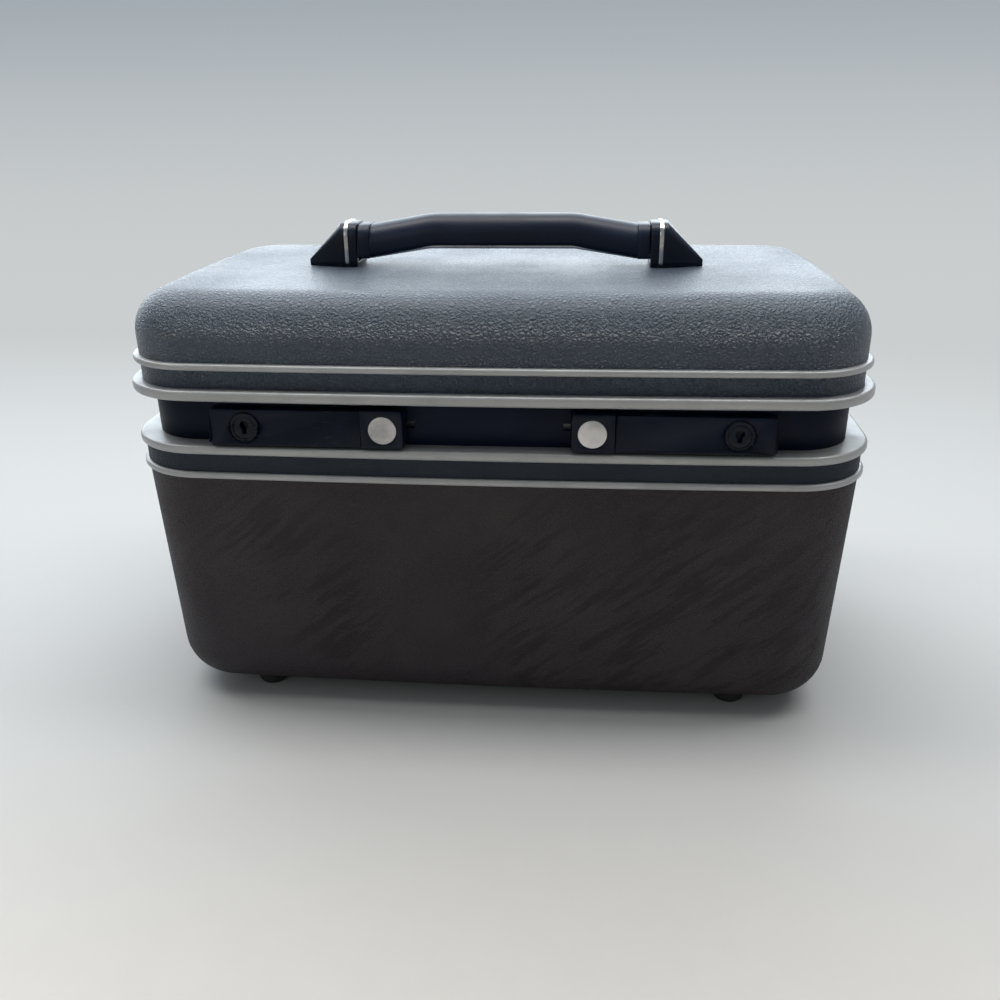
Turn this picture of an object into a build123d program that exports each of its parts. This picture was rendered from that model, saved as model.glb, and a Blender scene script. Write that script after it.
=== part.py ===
from build123d import *
import os
from math import sqrt

# Cosmetic train case, in millimetres. The origin is on the floor under the middle of the case,
# +X points right as seen from the front, the front faces -Y and +Z points up.

# Plan of the case at its outermost beads
case_width = 335.4
case_depth = 189.0
corner_radius = 35.4
least_corner = 6.0
side_crown = 3.05

# Heights, stacked from the floor up
foot_height = 5.0
body_wall_height = 115.5
trim_height = 3.0
body_strip = 8.4
body_bead_height = 4.2
band_height = 19.9
parting_gap = 0.15
lid_bead_height = 4.8
lid_strip = 8.3
lid_dome_height = 28.5

# How far each face lies inside the outermost bead
body_trim_inset = 0.2
body_wall_inset = 2.0
lid_trim_inset = 2.0
lid_wall_inset = 4.6
band_inset = 9.1
rim_inset = 19.0
lid_opening_inset = 17.0

# Shells
shell_wall = 2.6
body_draft = 2.28
body_edge_radius = 21.6
lid_edge_radius = 19.5

# Frames and beads
frame_plate = 2.2
frame_leg = 2.0
frame_leg_height = 10.0
bead_round = 1.5
trim_round = 1.2

# Recessed band, an upside-down channel that stands on the body frame
band_wall = 2.0
tongue_height = 5.5

# Linings
lining_wall = 1.5
lining_gap = 0.3
lining_underlay = 1.4
lid_lining_drop = 4.6
lid_lining_radius = 18.0
body_lining_radius = 17.0

# Feet
foot_end_setback = 52.1
foot_side_setback = 28.5
foot_radius = 7.5
foot_round = 2.7
foot_recess_radius = 2.5
foot_recess_depth = 2.4
rivet_head = 1.1
rivet_head_radius = 4.0
rivet_radius = 1.6

# Latches: the hasp bar and the release button beside it, one pair each side of the middle
latch_setback = 3.0
latch_thickness = 4.7
latch_height = 16.5
latch_lift = 0.9
latch_draft = 9.0
latch_corner = 2.0
hasp_end_setback = 46.0
hasp_length = 67.2
button_length = 18.7
button_gap = 0.5
button_travel = 7.0
disc_radius = 6.1
disc_proud = 0.15
disc_depth = 0.6

# Hasp hinge
hasp_axis_depth = 3.0
hasp_axis_drop = 1.8
hasp_pin_radius = 1.0
hasp_chamfer = 0.8
knuckle_radius = 1.7
knuckle_length = 7.0
knuckle_from_end = 12.0
knuckle_spacing = 22.0
notch_side = 0.3
notch_front = 0.3
notch_below = 0.4
arm_half = 1.2
bracket_sheet = 0.9
bracket_back_gap = 0.6
bracket_from_end = 3.5
bracket_drop = 6.1
bracket_leaf = 0.8
bracket_leaf_reach = 5.2
pin_end_gap = 0.3
running_gap = 0.05
fixed_gap = 0.01

# Hasp finger and what holds it behind the band
finger_from_end = 1.5
finger_width = 8.0
finger_length = 5.8
finger_height = 2.4
finger_drop = 11.0
slot_side = 0.4
slot_above = 0.5
slot_below = 2.2
slide_screw_radius = 0.6
slide_screw_reach = 2.0
slide_screw_bore = 3.0
stem_length = 10.0
stem_height = 2.4
stem_slot_gap = 0.3
slide_gap = 0.6
slide_plate = 1.4
slide_length = 18.4
slide_height = 12.0
slide_to_finger = 0.6
spring_notch_length = 9.0
spring_notch_height = 3.6
spring_notch_drop = 3.3
spring_setback = 0.95
spring_radius = 1.0
spring_wire = 0.22
spring_pitch = 1.8
keeper_gap = 1.3
keeper_plate = 1.2
keeper_reach = 15.3
keeper_length = 56.0
keeper_height = 14.0
keeper_tab = 1.0
keeper_tab_reach = 7.9
boss_radius = 2.8
boss_bore = 3.0
boss_from_end = 4.0
small_screw_radius = 1.1
small_head_radius = 2.1
small_head = 1.0

# Key lock in the hasp
lock_from_end = 16.1
bezel_radius = 6.5
bezel_proud = 0.5
bezel_recess = 0.8
plug_radius = 4.9
plug_fit = 0.06
keyhole_round = 1.9
keyhole_slot = 1.9
keyhole_drop = 2.9
keyhole_depth = 3.0
cam_gap = 0.2
cam_plate = 1.1
cam_half = 3.0
cam_reach = 8.0

# Rear hinges
hinge_end_setback = 72.7
hinge_setback = 5.5
hinge_axis_height = 14.9
hinge_knuckle_radius = 2.8
hinge_pin_radius = 1.2
hinge_leaf = 1.2
hinge_barrel = 40.0
hinge_middle = 15.2
hinge_leaf_width = 64.0
hinge_gap = 0.4
hinge_leaf_reach = 4.8
hinge_leaf_foot = 1.5
pad_drop = 2.5
hinge_rivet_offset = 26.0
hinge_rivet_radius = 1.5
hinge_rivet_head = 0.8
hinge_rivet_head_radius = 2.5
hinge_rivet_height = 6.5
lid_rivet_back = 3.0

# Handle
grip_half_flat = 35.0
grip_half_length = 64.5
grip_clearance = 9.3
grip_height = 15.0
grip_drop = 5.0
grip_width = 20.0
grip_bend_radius = 14.0
grip_top_round = 5.5
grip_low_round = 2.5
strap_thickness = 2.2
strap_width = 14.0
strap_proud = 0.5
strap_end_reach = 3.8
collar_length = 5.4
collar_proud = 0.4
collar_round = 6.0
collar_low_round = 1.5
handle_gap = 0.7
handle_travel = 10.0
holder_length = 3.8
ring_length = 2.0
ring_proud = 0.5
cap_width = 22.0
cap_height = 19.3
cap_round = 6.0
cap_low_round = 1.5
cap_straight = 2.1
cap_length = 19.3
cap_tip_width = 9.0
cap_tip_height = 2.1
cap_tip_round = 0.9
cap_tip_low_round = 0.4
cap_seat = 1.2
cap_seat_inset = 1.0
cap_cavity_side = 0.3
cap_cavity_floor = 1.0
cap_cavity_end = 0.4
cap_cavity_roof = 0.9
handle_pin_radius = 0.8
handle_pin_half = 8.4
handle_pin_from_end = 1.7
pin_slot_gap = 0.15
cap_screw_reach = 9.8
cap_screw_y = 3.5
cap_screw_radius = 1.4
cap_screw_depth = 6.0
cap_screw_head = 1.8
cap_screw_head_radius = 2.7
screw_clearance = 0.2
backing_plate = 1.4
backing_length = 30.0
backing_width = 24.0

# Mirror in the lid
mirror_end_setback = 67.7
mirror_side_setback = 40.5
mirror_thickness = 2.5
mirror_corner = 12.0
mirror_lip = 3.0
mirror_frame_width = 7.0
mirror_frame_height = 4.4
mirror_frame_round = 0.8
mirror_fit = 0.2

# Tray and its ledges
ledge_level = 86.0
ledge_thickness = 3.0
ledge_lip_height = 7.0
ledge_flange_height = 14.0
ledge_inset = 38.0
ledge_side_setback = 52.5
tray_inset = 23.5
tray_height = 38.0
tray_wall = 2.0
tray_draft = 1.5
tray_edge_radius = 5.0
tray_seat_gap = 0.1
tray_travel = 35.0
tray_divider_end_setback = 115.7
tray_divider_rear_setback = 76.5
tray_divider_drop = 6.0
tray_grip_width = 34.0
tray_grip_height = 13.0
tray_grip_drop = 7.0

# Levels and places that follow from the sizes above
body_base = foot_height
body_trim_low = body_base + body_wall_height
body_trim_high = body_trim_low + trim_height
body_bead_low = body_trim_high + body_strip
shelf_level = body_bead_low + body_bead_height
band_top = shelf_level + band_height
lid_base = band_top + parting_gap
lid_bead_high = lid_base + lid_bead_height
lid_trim_low = lid_bead_high + lid_strip
lid_trim_high = lid_trim_low + trim_height
lid_top = lid_trim_high + lid_dome_height
body_shell_top = shelf_level - frame_plate
lid_shell_low = lid_base + frame_plate
body_lining_base = body_base + shell_wall + lining_underlay
body_lining_inset = body_wall_inset + shell_wall + frame_leg + lining_gap
lid_lining_inset = lid_wall_inset + shell_wall + frame_leg + lining_gap
lid_lining_high = lid_top - shell_wall - lid_lining_drop
lid_ceiling = lid_lining_high - lining_wall
latch_front = -(case_depth / 2 - latch_setback)
latch_back = latch_front + latch_thickness
latch_low = shelf_level + latch_lift
latch_high = latch_low + latch_height
latch_middle = (latch_low + latch_high) / 2
hasp_outer_x = case_width / 2 - hasp_end_setback
hasp_inner_x = hasp_outer_x - hasp_length
button_outer_x = hasp_inner_x - button_gap
button_inner_x = button_outer_x - button_length
keeper_inner_x = button_inner_x - keeper_reach
keeper_tab_x = button_inner_x - keeper_tab_reach
hasp_axis_y = latch_front + hasp_axis_depth
hasp_axis_z = latch_high - hasp_axis_drop
lock_x = hasp_outer_x - lock_from_end
button_middle_x = (button_inner_x + button_outer_x) / 2
foot_x = case_width / 2 - foot_end_setback
foot_y = case_depth / 2 - foot_side_setback
ledge_half_length = case_depth / 2 - ledge_side_setback
tray_divider_x = case_width / 2 - tray_divider_end_setback
tray_divider_y = case_depth / 2 - tray_divider_rear_setback
mirror_width = case_width - 2 * mirror_end_setback
mirror_depth = case_depth - 2 * mirror_side_setback
hinge_x = case_width / 2 - hinge_end_setback
hinge_axis_y = case_depth / 2 - hinge_setback
hinge_axis_z = shelf_level + hinge_axis_height
cap_base = lid_top + cap_seat
cap_top = cap_base + cap_height
grip_low = lid_top + grip_clearance
strap_low = grip_low - strap_proud
strap_end_low = strap_low - grip_drop
collar_outer_x = grip_half_length + collar_length
holder_inner_x = collar_outer_x + handle_gap
ring_inner_x = holder_inner_x + holder_length
cap_inner_x = ring_inner_x + ring_length
cap_tip_x = cap_inner_x + cap_length
cap_screw_x = cap_inner_x + cap_screw_reach
strap_end_x = cap_inner_x + strap_end_reach
handle_pin_x = strap_end_x - handle_pin_from_end
overlap = 1.0
spare = 5.0


def front_depth(inset, x):
    """Distance from the middle plane to the front or rear face that lies inset inside the beads, at x."""
    half_chord = case_width / 2 - inset - side_crown
    arc_radius = (half_chord**2 + side_crown**2) / (2 * side_crown)
    return case_depth / 2 - inset - arc_radius + sqrt(arc_radius**2 - x**2)


def outline(inset):
    """Plan outline drawn in by inset: four crowned sides with rounded corners."""
    half_x = case_width / 2 - inset
    half_y = case_depth / 2 - inset
    corner_x = half_x - side_crown
    corner_y = half_y - side_crown
    sides = [
        ThreePointArc((-corner_x, -corner_y), (0, -half_y), (corner_x, -corner_y)),
        ThreePointArc((corner_x, -corner_y), (half_x, 0), (corner_x, corner_y)),
        ThreePointArc((corner_x, corner_y), (0, half_y), (-corner_x, corner_y)),
        ThreePointArc((-corner_x, corner_y), (-half_x, 0), (-corner_x, -corner_y)),
    ]
    face = make_face(Curve() + sides)
    return fillet(face.vertices(), max(corner_radius - inset, least_corner))


def block(inset, low, high):
    """Upright solid on the plan outline."""
    return extrude(Pos(0, 0, low) * outline(inset), amount=high - low)


def wall_ring(outer_inset, inner_inset, low, high):
    """Upright wall all round the case between two insets."""
    return block(outer_inset, low, high) - block(inner_inset, low, high)


def tub(inset, low, high, draft, edge_radius):
    """Solid that narrows downwards from the plan outline at its top, with a rounded lower edge."""
    solid = extrude(Pos(0, 0, high) * outline(inset), amount=low - high, taper=draft)
    return fillet(solid.edges().group_by(Axis.Z)[0], edge_radius)


def dome(inset, low, high, edge_radius):
    """Upright solid with a rounded upper edge."""
    solid = block(inset, low, high)
    return fillet(solid.edges().group_by(Axis.Z)[-1], edge_radius)


def box(low_corner, high_corner):
    """Box between two corners."""
    size = [b - a for a, b in zip(low_corner, high_corner)]
    middle = [(a + b) / 2 for a, b in zip(low_corner, high_corner)]
    return Pos(*middle) * Box(*size)


def rod_x(x, y, z, radius, length):
    """Round rod along X that starts at x."""
    return extrude(Plane(origin=(x, y, z), z_dir=(1, 0, 0)) * Circle(radius), amount=length)


def rod_y(x, y, z, radius, length):
    """Round rod along Y that starts at y."""
    return extrude(Plane(origin=(x, y, z), z_dir=(0, 1, 0)) * Circle(radius), amount=length)


def rod_z(x, y, z, radius, length):
    """Round rod along Z that starts at z."""
    return extrude(Plane(origin=(x, y, z)) * Circle(radius), amount=length)


def on_left(shape):
    """The same piece on the other side of the middle."""
    return mirror(shape, about=Plane.YZ)


def both_sides(shape):
    """The piece on the right and its mirror image, as separate solids."""
    return Compound(children=[*shape.solids(), *on_left(shape).solids()])


def four_corners(shape):
    """The piece in one quarter of the plan, and its mirror images in the other three."""
    front_and_back = [*shape.solids(), *mirror(shape, about=Plane.XZ).solids()]
    return both_sides(Compound(children=front_and_back))


def body_outer():
    """Outer form of the body shell below its frame."""
    lower = tub(body_wall_inset, body_base, body_trim_low, body_draft, body_edge_radius)
    return lower + block(body_wall_inset, body_trim_low, body_shell_top)


def body_cavity():
    """Space inside the body shell."""
    inner_inset = body_wall_inset + shell_wall
    inner_radius = body_edge_radius - shell_wall
    lower = tub(inner_inset, body_base + shell_wall, body_trim_low, body_draft, inner_radius)
    return lower + block(inner_inset, body_trim_low, body_shell_top)


def body_shell():
    """Moulded lower shell, open at the top, with holes for the feet's rivets."""
    hole_height = shell_wall + 2 * overlap
    holes = four_corners(rod_z(foot_x, foot_y, body_base - overlap, rivet_radius, hole_height))
    return body_outer() - body_cavity() - holes


def rounded_ring(outer_inset, inner_inset, low, high, rounding):
    """Bead all round the case, rounded along its outer edges."""
    solid = block(outer_inset, low, high)
    ends = [*solid.edges().group_by(Axis.Z)[0], *solid.edges().group_by(Axis.Z)[-1]]
    return fillet(ends, rounding) - block(inner_inset, low, high)


def body_trim():
    """Lower bead of the body."""
    return rounded_ring(body_trim_inset, body_wall_inset, body_trim_low, body_trim_high, trim_round)


def body_frame():
    """Metal ring round the body's mouth: outer bead, flat shelf, and a leg inside the shell."""
    leg_inset = body_wall_inset + shell_wall
    opening_inset = rim_inset + band_wall
    bead = rounded_ring(0, body_wall_inset, body_bead_low, shelf_level, bead_round)
    shelf = wall_ring(body_wall_inset, opening_inset, body_shell_top, shelf_level)
    leg = wall_ring(leg_inset, leg_inset + frame_leg, body_shell_top - frame_leg_height, body_shell_top)
    return bead + shelf + leg


def latch_slots():
    """Openings in the band's front wall for one hasp finger and one button stem."""
    wall_front = -(case_depth / 2 - band_inset) - overlap
    wall_back = -front_depth(band_inset + band_wall, hasp_inner_x + finger_width * 2) + overlap
    finger_x = hasp_inner_x + finger_from_end
    finger_middle = hasp_axis_z - finger_drop
    finger_slot = box(
        (finger_x - slot_side, wall_front, finger_middle - finger_height / 2 - slot_below),
        (finger_x + finger_width + slot_side, wall_back, finger_middle + finger_height / 2 + slot_above),
    )
    stem_low_x = button_middle_x - stem_length / 2 - button_travel - slot_side
    stem_high_x = button_middle_x + stem_length / 2 + slot_side
    stem_half = stem_height / 2 + stem_slot_gap
    stem_slot = box(
        (stem_low_x, wall_front, latch_middle - stem_half),
        (stem_high_x, wall_back, latch_middle + stem_half),
    )
    return finger_slot + stem_slot


def slide_front():
    """The front face of the slide plate behind the band."""
    return -front_depth(band_inset + band_wall, button_inner_x) + slide_gap


def keeper_front():
    """The front face of the keeper plate behind the slide."""
    return slide_front() + slide_plate + keeper_gap


def keeper_boss_places():
    """The places along X of the two bosses that carry one keeper plate."""
    return [keeper_inner_x + boss_from_end, keeper_inner_x + keeper_length - boss_from_end]


def keeper_bosses():
    """Bosses moulded on the band's inner face, drilled for the keeper screws."""
    bosses = []
    for x in keeper_boss_places():
        start = -front_depth(band_inset + band_wall / 2, x)
        boss = rod_y(x, start, latch_middle, boss_radius, keeper_front() - start)
        bore_start = keeper_front() - boss_bore
        bosses.append(boss - rod_y(x, bore_start, latch_middle, small_screw_radius, boss_bore))
    return bosses[0] + bosses[1]


def hinge_pad():
    """Raised flat seat on the band's rear wall for one hinge leaf."""
    seat_y = hinge_axis_y - hinge_knuckle_radius
    pad_high = hinge_axis_z - pad_drop
    near = hinge_x - hinge_leaf_width / 2 - hinge_gap
    far = hinge_x + hinge_leaf_width / 2 + hinge_gap
    pad = box((near, 0, shelf_level), (far, seat_y, pad_high))
    return pad - block(band_inset, shelf_level, pad_high)


def hinge_rivet_places():
    """The places along X of one hinge's rivets."""
    return [hinge_x - hinge_rivet_offset, hinge_x + hinge_rivet_offset]


def body_rivet(x, radius, start, end):
    """Round rod along Y through the body leaf's rivet hole at x."""
    return rod_y(x, start, shelf_level + hinge_rivet_height, radius, end - start)


def latch_band():
    """Black channel all round: visible outer wall, top, inner wall and the tongue that enters the lid."""
    rim_inner = rim_inset + band_wall
    outer = wall_ring(band_inset, band_inset + band_wall, shelf_level, band_top)
    top = wall_ring(band_inset, rim_inner, band_top - band_wall, band_top)
    rim = wall_ring(rim_inset, rim_inner, shelf_level, band_top + tongue_height)
    slots = latch_slots()
    bosses = keeper_bosses()
    pad = hinge_pad()
    band = outer + top + rim + bosses + on_left(bosses) + pad + on_left(pad)
    band = band - slots - on_left(slots)
    seat_y = hinge_axis_y - hinge_knuckle_radius
    for x in hinge_rivet_places():
        start = front_depth(band_inset + band_wall, x) - overlap
        hole = body_rivet(x, hinge_rivet_radius, start, seat_y + overlap)
        band = band - hole - on_left(hole)
    return band


def body_lining():
    """Cloth-covered lining that follows the inside of the body shell."""
    inset = body_lining_inset
    top = body_shell_top - lining_gap
    outer = tub(inset, body_lining_base, body_trim_low, body_draft, body_lining_radius)
    outer += block(inset, body_trim_low, top)
    return outer - lining_hollow() - block(inset + lining_wall, body_trim_low, top)


def lining_hollow():
    """Space inside the drafted part of the body lining."""
    low = body_lining_base + lining_wall
    radius = body_lining_radius - lining_wall
    return tub(body_lining_inset + lining_wall, low, body_trim_low, body_draft, radius)


def tray_ledges():
    """Two plastic ledges on the lining's end walls that carry the tray."""
    high = ledge_level + ledge_thickness
    inner_x = case_width / 2 - ledge_inset
    slab = box((inner_x, -ledge_half_length, ledge_level), (case_width / 2, ledge_half_length, high))
    lip = box(
        (inner_x, -ledge_half_length, high - ledge_lip_height),
        (inner_x + ledge_thickness, ledge_half_length, high),
    )
    upright = box(
        (inner_x, -ledge_half_length, high - ledge_flange_height), (case_width / 2, ledge_half_length, high)
    )
    hollow = lining_hollow()
    flange = (upright & hollow) - Pos(-ledge_thickness, 0, 0) * hollow
    return both_sides((slab & hollow) + lip + flange)


def feet():
    """Four domed feet whose tops follow the rounded underside of the body."""
    foot = rod_z(foot_x, foot_y, 0, foot_radius, foot_height + spare)
    foot = fillet(foot.edges().group_by(Axis.Z)[0], foot_round)
    foot -= body_outer()
    foot -= rod_z(foot_x, foot_y, 0, foot_recess_radius, foot_recess_depth)
    foot -= rod_z(foot_x, foot_y, 0, rivet_radius, foot_height + overlap)
    return four_corners(foot)


def foot_rivets():
    """Rivets through the feet and the body's floor."""
    inner_floor = body_base + shell_wall
    head_low = foot_recess_depth - rivet_head
    shank = rod_z(foot_x, foot_y, head_low, rivet_radius, inner_floor + rivet_head - head_low)
    lower_head = rod_z(foot_x, foot_y, head_low, foot_recess_radius - fixed_gap, rivet_head)
    upper_head = rod_z(foot_x, foot_y, inner_floor, rivet_head_radius, rivet_head) & body_cavity()
    return four_corners(shank + lower_head + upper_head)


def hinge_body_leaves():
    """Hinge leaves fixed to the band's rear pads, with the outer knuckles."""
    near = hinge_x - hinge_leaf_width / 2
    far = hinge_x + hinge_leaf_width / 2
    seat_y = hinge_axis_y - hinge_knuckle_radius
    leaf_top = hinge_axis_z - hinge_knuckle_radius - hinge_gap
    leaf = box((near, seat_y, shelf_level + hinge_leaf_foot), (far, seat_y + hinge_leaf, leaf_top))
    knuckle_run = (hinge_barrel - hinge_middle) / 2 - hinge_gap
    for start in (hinge_x - hinge_barrel / 2, hinge_x + hinge_barrel / 2 - knuckle_run):
        neck_end = start + knuckle_run
        neck = box((start, seat_y, leaf_top - overlap), (neck_end, seat_y + hinge_leaf, hinge_axis_z))
        leaf += neck + rod_x(start, hinge_axis_y, hinge_axis_z, hinge_knuckle_radius, knuckle_run)
    leaf -= rod_x(near, hinge_axis_y, hinge_axis_z, hinge_pin_radius + fixed_gap, hinge_leaf_width)
    for x in hinge_rivet_places():
        leaf -= body_rivet(x, hinge_rivet_radius, seat_y - overlap, seat_y + hinge_leaf + overlap)
    return both_sides(leaf)


def hinge_pins():
    """Hinge pins, held by the body leaves."""
    pin = rod_x(hinge_x - hinge_barrel / 2, hinge_axis_y, hinge_axis_z, hinge_pin_radius, hinge_barrel)
    return both_sides(pin)


def hinge_body_rivets():
    """Rivets through the body leaves, the pads and the band's wall."""
    seat_y = hinge_axis_y - hinge_knuckle_radius
    rivets = []
    for x in hinge_rivet_places():
        inner_y = front_depth(band_inset + band_wall, x)
        outer_y = seat_y + hinge_leaf
        shank = body_rivet(x, hinge_rivet_radius, inner_y, outer_y)
        head = body_rivet(x, hinge_rivet_head_radius, outer_y, outer_y + hinge_rivet_head)
        rivets += (shank + head).solids()
    return both_sides(Compound(children=rivets))


def hinge_lid_leaves():
    """Hinge leaves under the lid's frame, each with the middle knuckle."""
    near = hinge_x - hinge_leaf_width / 2
    far = hinge_x + hinge_leaf_width / 2
    seat_y = hinge_axis_y - hinge_knuckle_radius
    leaf_low = hinge_axis_z + hinge_knuckle_radius + hinge_gap
    upright = box((near, seat_y, leaf_low), (far, seat_y + hinge_leaf, lid_base))
    flat = box((near, seat_y, lid_base - hinge_leaf), (far, seat_y + hinge_leaf_reach, lid_base))
    start = hinge_x - hinge_middle / 2
    neck_end = start + hinge_middle
    neck = box((start, seat_y, hinge_axis_z), (neck_end, seat_y + hinge_leaf, leaf_low + overlap))
    knuckle = rod_x(start, hinge_axis_y, hinge_axis_z, hinge_knuckle_radius, hinge_middle)
    leaf = upright + flat + neck + knuckle
    leaf -= rod_x(start, hinge_axis_y, hinge_axis_z, hinge_pin_radius + running_gap, hinge_middle)
    for x in hinge_rivet_places():
        leaf -= rod_z(x, seat_y + lid_rivet_back, lid_base - spare, hinge_rivet_radius, 2 * spare)
    return both_sides(leaf)


def hinge_lid_rivets():
    """Rivets through the lid leaves and the lid frame."""
    seat_y = hinge_axis_y - hinge_knuckle_radius
    head_high = lid_base - hinge_leaf
    rivets = []
    for x in hinge_rivet_places():
        y = seat_y + lid_rivet_back
        shank = rod_z(x, y, head_high, hinge_rivet_radius, hinge_leaf + frame_plate)
        head = rod_z(x, y, head_high - hinge_rivet_head, lid_rivet_head_radius(), hinge_rivet_head)
        rivets += (shank + head).solids()
    return both_sides(Compound(children=rivets))


def lid_rivet_head_radius():
    """Head radius that leaves room between the leaf's upright and its outer edge."""
    return min(hinge_rivet_head_radius, lid_rivet_back - hinge_leaf - fixed_gap)


def lid_frame():
    """Metal ring round the lid's mouth: outer bead, flat flange and a leg inside the shell."""
    leg_inset = lid_wall_inset + shell_wall
    bead = rounded_ring(0, lid_wall_inset, lid_base, lid_bead_high, bead_round)
    flange = wall_ring(lid_wall_inset, lid_opening_inset, lid_base, lid_shell_low)
    leg = wall_ring(leg_inset, leg_inset + frame_leg, lid_shell_low, lid_shell_low + frame_leg_height)
    ring = bead + flange + leg
    rivet_y = hinge_axis_y - hinge_knuckle_radius + lid_rivet_back
    for x in hinge_rivet_places():
        hole = rod_z(x, rivet_y, lid_base - overlap, hinge_rivet_radius, frame_plate + overlap)
        ring = ring - hole - on_left(hole)
    return ring


def lid_trim():
    """Upper bead of the lid."""
    return rounded_ring(lid_trim_inset, lid_wall_inset, lid_trim_low, lid_trim_high, trim_round)


def cap_screw_places():
    """Plan places of one cap's screws."""
    return [(cap_screw_x, -cap_screw_y), (cap_screw_x, cap_screw_y)]


def lid_shell():
    """Moulded upper shell, open below, with holes for the handle's screws."""
    outer = dome(lid_wall_inset, lid_shell_low, lid_top, lid_edge_radius)
    inner_inset = lid_wall_inset + shell_wall
    cavity = dome(inner_inset, lid_shell_low, lid_top - shell_wall, lid_edge_radius - shell_wall)
    shell = outer - cavity
    for x, y in cap_screw_places():
        hole = rod_z(x, y, lid_top - spare, cap_screw_radius + screw_clearance, 2 * spare)
        shell = shell - hole - on_left(hole)
    return shell


def lid_lining():
    """Cloth-covered lining inside the lid."""
    outer = dome(lid_lining_inset, lid_shell_low, lid_lining_high, lid_lining_radius)
    inner_inset = lid_lining_inset + lining_wall
    return outer - dome(inner_inset, lid_shell_low, lid_ceiling, lid_lining_radius - lining_wall)


def mirror_plate(grow, low, high):
    """Flat plate on the mirror's outline, larger or smaller by grow all round."""
    face = RectangleRounded(mirror_width + 2 * grow, mirror_depth + 2 * grow, mirror_corner + grow)
    return extrude(Pos(0, 0, low) * face, amount=high - low)


def mirror_glass():
    """Mirror glass under the lid's lining."""
    return mirror_plate(-mirror_fit, lid_ceiling - mirror_thickness, lid_ceiling)


def mirror_screw_place():
    """Plan place of the mirror frame's screw in one quarter."""
    return mirror_width / 2 + mirror_frame_width / 2, mirror_depth / 4


def mirror_frame():
    """Frame that holds the mirror to the lid's lining."""
    low = lid_ceiling - mirror_frame_height
    outer = mirror_plate(mirror_frame_width, low, lid_ceiling)
    outer = fillet(outer.edges().group_by(Axis.Z)[0], mirror_frame_round)
    rebate = mirror_plate(0, lid_ceiling - mirror_thickness, lid_ceiling)
    opening = mirror_plate(-mirror_lip, low, lid_ceiling)
    x, y = mirror_screw_place()
    holes = four_corners(rod_z(x, y, low, small_screw_radius, mirror_frame_height))
    return outer - rebate - opening - holes


def mirror_screws():
    """Screws that hold the mirror frame."""
    low = lid_ceiling - mirror_frame_height
    x, y = mirror_screw_place()
    shank = rod_z(x, y, low, small_screw_radius, mirror_frame_height)
    head = rod_z(x, y, low - small_head, small_head_radius, small_head)
    return four_corners(shank + fillet(head.edges().group_by(Axis.Z)[0], small_head / 2))


def handle_section(width, low, high, top_round, low_round):
    """Cross-section of the handle's ends, upright with rounded shoulders, on the YZ plane."""
    face = Rectangle(width, high - low)
    corners = face.vertices().group_by(Axis.Y)
    face = fillet(corners[-1], top_round)
    face = fillet(face.vertices().group_by(Axis.Y)[0], low_round)
    return Pos(0, (low + high) / 2) * face


def section_plane(x):
    """Upright plane across the handle at x, seen from its outer end."""
    return Plane(origin=(x, 0, 0), x_dir=(0, 1, 0), z_dir=(1, 0, 0))


def strap_slot(x_low, x_high):
    """Upright slot that the strap's end moves in."""
    half = strap_width / 2 + cap_cavity_side
    roof = strap_end_low + strap_thickness + handle_travel + cap_cavity_roof
    return box((x_low, -half, cap_base + cap_cavity_floor), (x_high, half, roof))


def handle_cap():
    """Wedge-shaped end cap with the cavity and the upright slots for the strap's end and its pin."""
    shoulder_x = cap_inner_x + cap_straight
    section = handle_section(cap_width, cap_base, cap_top, cap_round, cap_low_round)
    tip_high = cap_base + cap_tip_height
    tip = handle_section(cap_tip_width, cap_base, tip_high, cap_tip_round, cap_tip_low_round)
    straight = extrude(section_plane(cap_inner_x) * section, amount=cap_straight)
    wedge = loft([section_plane(shoulder_x) * section, section_plane(cap_tip_x) * tip], ruled=True)
    cap = straight + wedge
    cap -= strap_slot(cap_inner_x - overlap, strap_end_x + cap_cavity_end)
    pin_z = strap_end_low + strap_thickness / 2
    slot_half = handle_pin_radius + pin_slot_gap
    slot_y = handle_pin_half + pin_slot_gap
    cap -= box(
        (handle_pin_x - slot_half, -slot_y, pin_z - slot_half),
        (handle_pin_x + slot_half, slot_y, pin_z + slot_half + handle_travel),
    )
    for x, y in cap_screw_places():
        cap -= rod_z(x, y, cap_base - overlap, cap_screw_radius, cap_screw_depth + overlap)
    return cap


def handle_trim_ring():
    """Bright plate between the cap and its holder."""
    section = handle_section(
        cap_width + 2 * ring_proud, cap_base, cap_top + ring_proud, cap_round + ring_proud, cap_low_round
    )
    plate = extrude(section_plane(ring_inner_x) * section, amount=ring_length)
    return plate - strap_slot(ring_inner_x - overlap, cap_inner_x + overlap)


def handle_holder():
    """Short black plate between the trim ring and the grip."""
    section = handle_section(cap_width, cap_base, cap_top, cap_round, cap_low_round)
    plate = extrude(section_plane(holder_inner_x) * section, amount=holder_length)
    return plate - strap_slot(holder_inner_x - overlap, ring_inner_x + overlap)


def cap_seat_pad():
    """Thin pad between the cap and the lid, set back from the cap's edges."""
    half_wide = cap_width / 2 - cap_seat_inset
    half_tip = cap_tip_width / 2 - cap_seat_inset
    near = holder_inner_x + cap_seat_inset
    shoulder = cap_inner_x + cap_straight
    far = cap_tip_x - cap_seat_inset
    points = [
        (near, -half_wide),
        (shoulder, -half_wide),
        (far, -half_tip),
        (far, half_tip),
        (shoulder, half_wide),
        (near, half_wide),
    ]
    pad = extrude(Pos(0, 0, lid_top) * make_face(Polyline(*points, close=True)), amount=cap_seat)
    for x, y in cap_screw_places():
        pad -= rod_z(x, y, lid_top - overlap, cap_screw_radius + screw_clearance, cap_seat + 2 * overlap)
    return pad


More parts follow.
